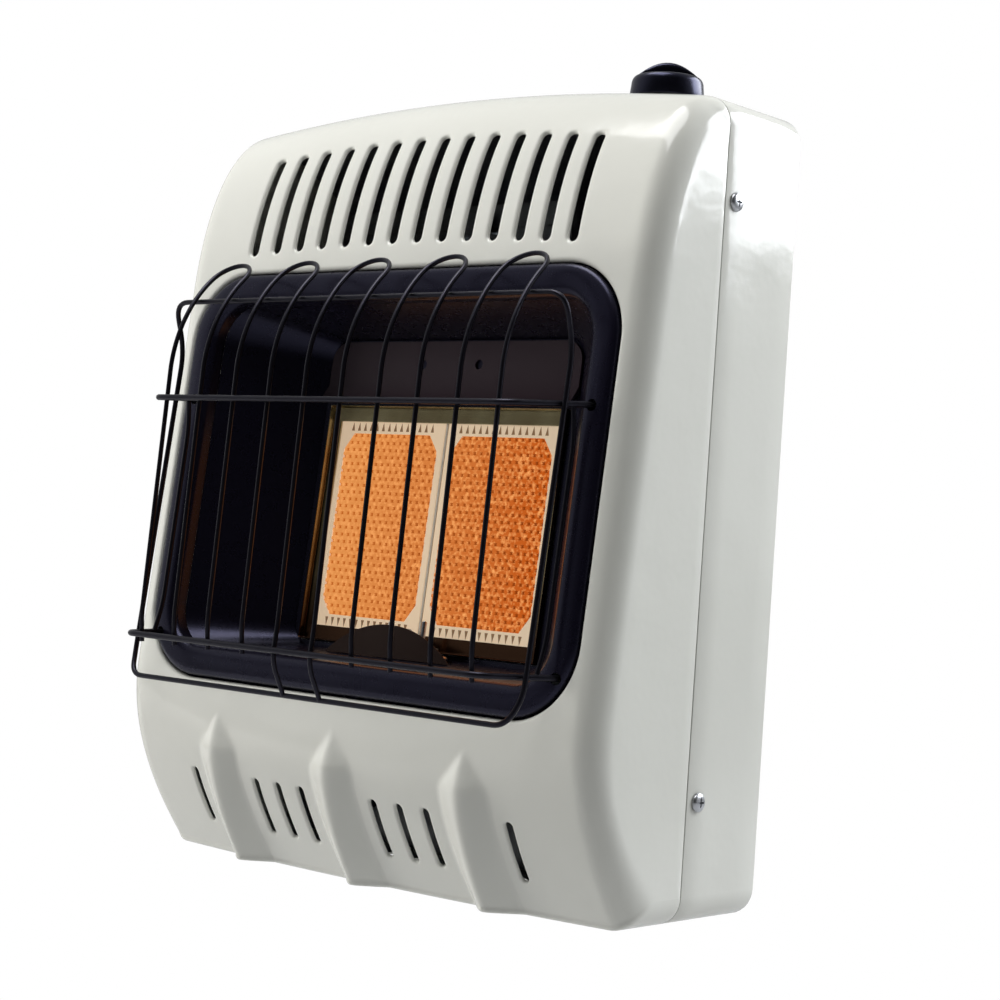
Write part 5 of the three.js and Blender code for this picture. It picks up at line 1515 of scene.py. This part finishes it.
def heated_steel():
    """Bright steel that browns towards the bottom of the burner."""
    material = FINISHES["bright_steel"].copy()
    material.name = "heated_steel"
    tree = material.node_tree
    shader = tree.nodes["Principled BSDF"]
    place = tree.nodes.new("ShaderNodeTexCoord")
    split = tree.nodes.new("ShaderNodeSeparateXYZ")
    tree.links.new(place.outputs["Object"], split.inputs[0])
    low, high = (slope_place(0, 60, BURNER_RISE + z).z for z in (-64, 10))
    browned = map_range(tree, split.outputs["Z"], low, high, 1, 0)
    clean = shader.inputs["Base Color"].links[0].from_socket
    tree.links.new(color_mix(tree, browned, clean, rgb(70, 48, 34)), shader.inputs["Base Color"])
    return material


FINISHES["heated_steel"] = heated_steel()
surround_frame = drawn("reflector_frame_tray", [frame_outline(*row) for row in FRAME_ROWS])
cleaned(surround_frame)
smooth(surround_frame, 40)
stands_for(surround_frame, "reflector_frame", finish=FINISHES["heated_steel"])

# %% [markdown]
# ## The pilot's shield
#
# A small domed plate of enamelled sheet, scorched by the flame, stands on the firebox floor and
# hides the pilot. It is cut from flat sheet along an arc, its edges are rounded, and two tabs bent
# back at its foot are screwed down. A few outlines close together, from face to face, give the
# rounded edge without a bevel that the thin sheet has no room for.

# %% Pilot shield
SHIELD_X, SHIELD_RADIUS, SHIELD_RISE, SHIELD_DEPTH = -5, 76, 20, 40
TAB_XS, TAB_HALF, TAB_REACH = (-44, 36), 5, 9


def floor_rise(depth):
    """Height of the liner's floor at a depth, with a hair's gap above it."""
    share = (depth - LINER_FRONT[4]) / (LINER_REAR[4] - LINER_FRONT[4])
    return LINER_FRONT[1] + (LINER_REAR[1] - LINER_FRONT[1]) * share + 0.3


def shield_outline(inset, depth):
    floor = floor_rise(SHIELD_DEPTH + 1)
    reach = math.acos((SHIELD_RADIUS - SHIELD_RISE) / SHIELD_RADIUS)
    dome = arc(SHIELD_X, floor + SHIELD_RISE - SHIELD_RADIUS, SHIELD_RADIUS - inset,
               QUARTER - reach, QUARTER + reach, 48)
    return on_slope([(x, max(rise, floor)) for x, rise in dome], depth)


shield = [drawn("shield_plate", [shield_outline(inset, SHIELD_DEPTH + deep) for inset, deep in (
    (0.35, 0), (0.1, 0.1), (0, 0.35), (0, 0.65), (0.1, 0.9), (0.35, 1))], ends=True)]
tab_rise = floor_rise(SHIELD_DEPTH + TAB_REACH)
for x in TAB_XS:
    shield.append(drawn("shield_tab", [
        [slope_place(x + sx * TAB_HALF, SHIELD_DEPTH + 0.5 + deep * (TAB_REACH - 0.5), tab_rise + up)
         for sx, up in ((1, 0), (1, 1), (-1, 1), (-1, 0))] for deep in (0, 1)], ends=True))
shield = joined("pilot_shield_plate", shield)
smooth(shield, 40)
stands_for(shield, "pilot_shield", finish=FINISHES["scorched_enamel"])

# %% [markdown]
# ## The control knob
#
# The knob is moulded in black plastic: a drum with a softly rounded crown and an arched grip across
# it that fingers turn it by. The drum is a stack of rings, as it would come from a lathe. The grip
# is drawn from end to end out of cross sections whose height follows an arch. A round socket below
# takes the valve's stem. It is cut before the grip is joined on, because a cut is only sure on one
# closed skin.

# %% Control knob
KNOB_RADIUS, CROWN_HEIGHT, KNOB_RISE = 22.4, 0.6, 13
GRIP_HEIGHT, GRIP_HALF_WIDTH, GRIP_TURN = 8.5, 6.5, math.radians(40)
GRIP_FOOT = 1.5                 # the grip's ends start this far inside the drum
SOCKET_LENGTH, STEM_GAP = 16.6, 0.3
STEM_LOW, STEM_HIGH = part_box("valve_stem")
KNOB_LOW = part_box("control_knob")[0].z / MM + WALL_HANG
KNOB_TOP = KNOB_LOW + KNOB_RISE


def knob_profile():
    r = KNOB_RADIUS
    side = [(r - 0.6, KNOB_LOW), (r - 0.15, KNOB_LOW + 0.2), (r, KNOB_LOW + 0.8), (r - 0.9, KNOB_TOP - 3.6)]
    shoulder = [(r - 1.0, KNOB_TOP - 3.2), (r - 1.35, KNOB_TOP - 2.2), (r - 1.9, KNOB_TOP - 1.2),
                (r - 2.7, KNOB_TOP - 0.45), (r - 3.7, KNOB_TOP - 0.05)]
    crown = [(0.75 * r, KNOB_TOP + 0.2), (0.5 * r, KNOB_TOP + 0.45), (0.25 * r, KNOB_TOP + CROWN_HEIGHT),
             (0.02 * r, KNOB_TOP + CROWN_HEIGHT)]
    return [(radius, height - WALL_HANG) for radius, height in side + shoulder + crown]


def grip_section(share):
    """A loop across the grip at a share of its reach, from -1 to 1."""
    height = (GRIP_HEIGHT + GRIP_FOOT) * (1 - share * share) - GRIP_FOOT
    half = GRIP_HALF_WIDTH * (1 - 0.12 * share ** 4)
    side = [(half, -2), (half, 0.55 * height), (0.97 * half, 0.78 * height), (0.86 * half, 0.92 * height),
            (0.66 * half, 0.985 * height), (0.35 * half, height)]
    loop = side + [(-w, h) for w, h in reversed(side)]
    turn = Matrix.Rotation(GRIP_TURN, 3, "Z")
    across = [turn @ Vector((share * (KNOB_RADIUS - 3), w, 0)) for w, _ in loop]
    return [casing_place(KNOB_X + spot.x, KNOB_Y + spot.y, KNOB_TOP + h)
            for spot, (_, h) in zip(across, loop)]


drum = turned("drum", knob_profile(), sides=96)
drum.location = Vector((KNOB_X, KNOB_Y, 0)) * MM
at_origin(drum)
stem_radius = (STEM_HIGH.x - STEM_LOW.x) / 2 / MM
holes_cut(drum, [round_cutter(
    casing_place(KNOB_X, KNOB_Y, KNOB_LOW + 3), UP, stem_radius + STEM_GAP, SOCKET_LENGTH)])
grip = drawn("grip", [grip_section(-1 + 2 * t / 24) for t in range(25)], ends=True)
knob = joined("control_knob_moulding", [drum, grip])
smooth(knob, 40)
stands_for(knob, "control_knob")

# %% [markdown]
# ## Pieces that keep their CAD shape
#
# Brackets, plates, the valve, the regulator and the burner box are already the right shape, and most
# are hidden inside, so modelling them again would add nothing. Real sheet and castings have no knife
# edges, though, so a copy of each is merged, its flat faces are joined up, and its sharp edges get a
# small bevel. Turned parts and tubes only get smooth shading. A Weighted Normal modifier keeps the
# large flat faces flat in the light.

# %% Softened edges


def softened(node, width, degrees=40, finish=None):
    take(NODES[node])
    bpy.ops.object.duplicate(linked=False)
    piece = bpy.context.object
    piece.name = node + "_softened"
    bpy.ops.object.parent_clear(type="CLEAR_KEEP_TRANSFORM")
    at_origin(piece)
    cleaned(piece)
    edit(piece)
    bpy.ops.mesh.select_all(action="SELECT")
    bpy.ops.mesh.dissolve_limited(angle_limit=math.radians(0.5))
    deselect()
    if width:
        finished(piece, "BEVEL", width=width * MM, segments=2, limit_method="ANGLE",
                 angle_limit=math.radians(degrees))
    smooth(piece, degrees)
    finished(piece, "WEIGHTED_NORMAL", weight=100, keep_sharp=True)
    stands_for(piece, node, finish=finish)


SHEET_BEVEL, CAST_BEVEL = 0.25, 0.6
SHEET_PIECES = (
    "back_panel", "wall_bracket", "burner_bracket_left", "burner_bracket_right", "valve_bracket",
    "valve_shield", "regulator_bracket", "injector_bracket", "pilot_bracket", "top_baffle",
    "firebox_back_plate", "burner_plenum",
)
CAST_PIECES = "gas_valve", "regulator", "regulator_cap"
ROUND_PIECES = (
    "venturi_tube", "injector", "inlet_fitting", "inlet_tube", "burner_tube", "pilot_tube",
    "thermocouple_lead", "igniter_lead", "pilot_burner", "thermocouple", "igniter_electrode",
    "valve_plug", "valve_stem",
)
for node_name in SHEET_PIECES:
    softened(node_name, SHEET_BEVEL)
softened("upper_deflector", SHEET_BEVEL, finish=FINISHES["heated_enamel"])
for node_name in CAST_PIECES:
    softened(node_name, CAST_BEVEL, 30)
for node_name in ROUND_PIECES:
    softened(node_name, 0, 50)
left_over = [name for name, node in NODES.items() if name not in
             {*SHEET_PIECES, *CAST_PIECES, *ROUND_PIECES} and not node.hide_render]
print("as in the CAD model:", left_over)
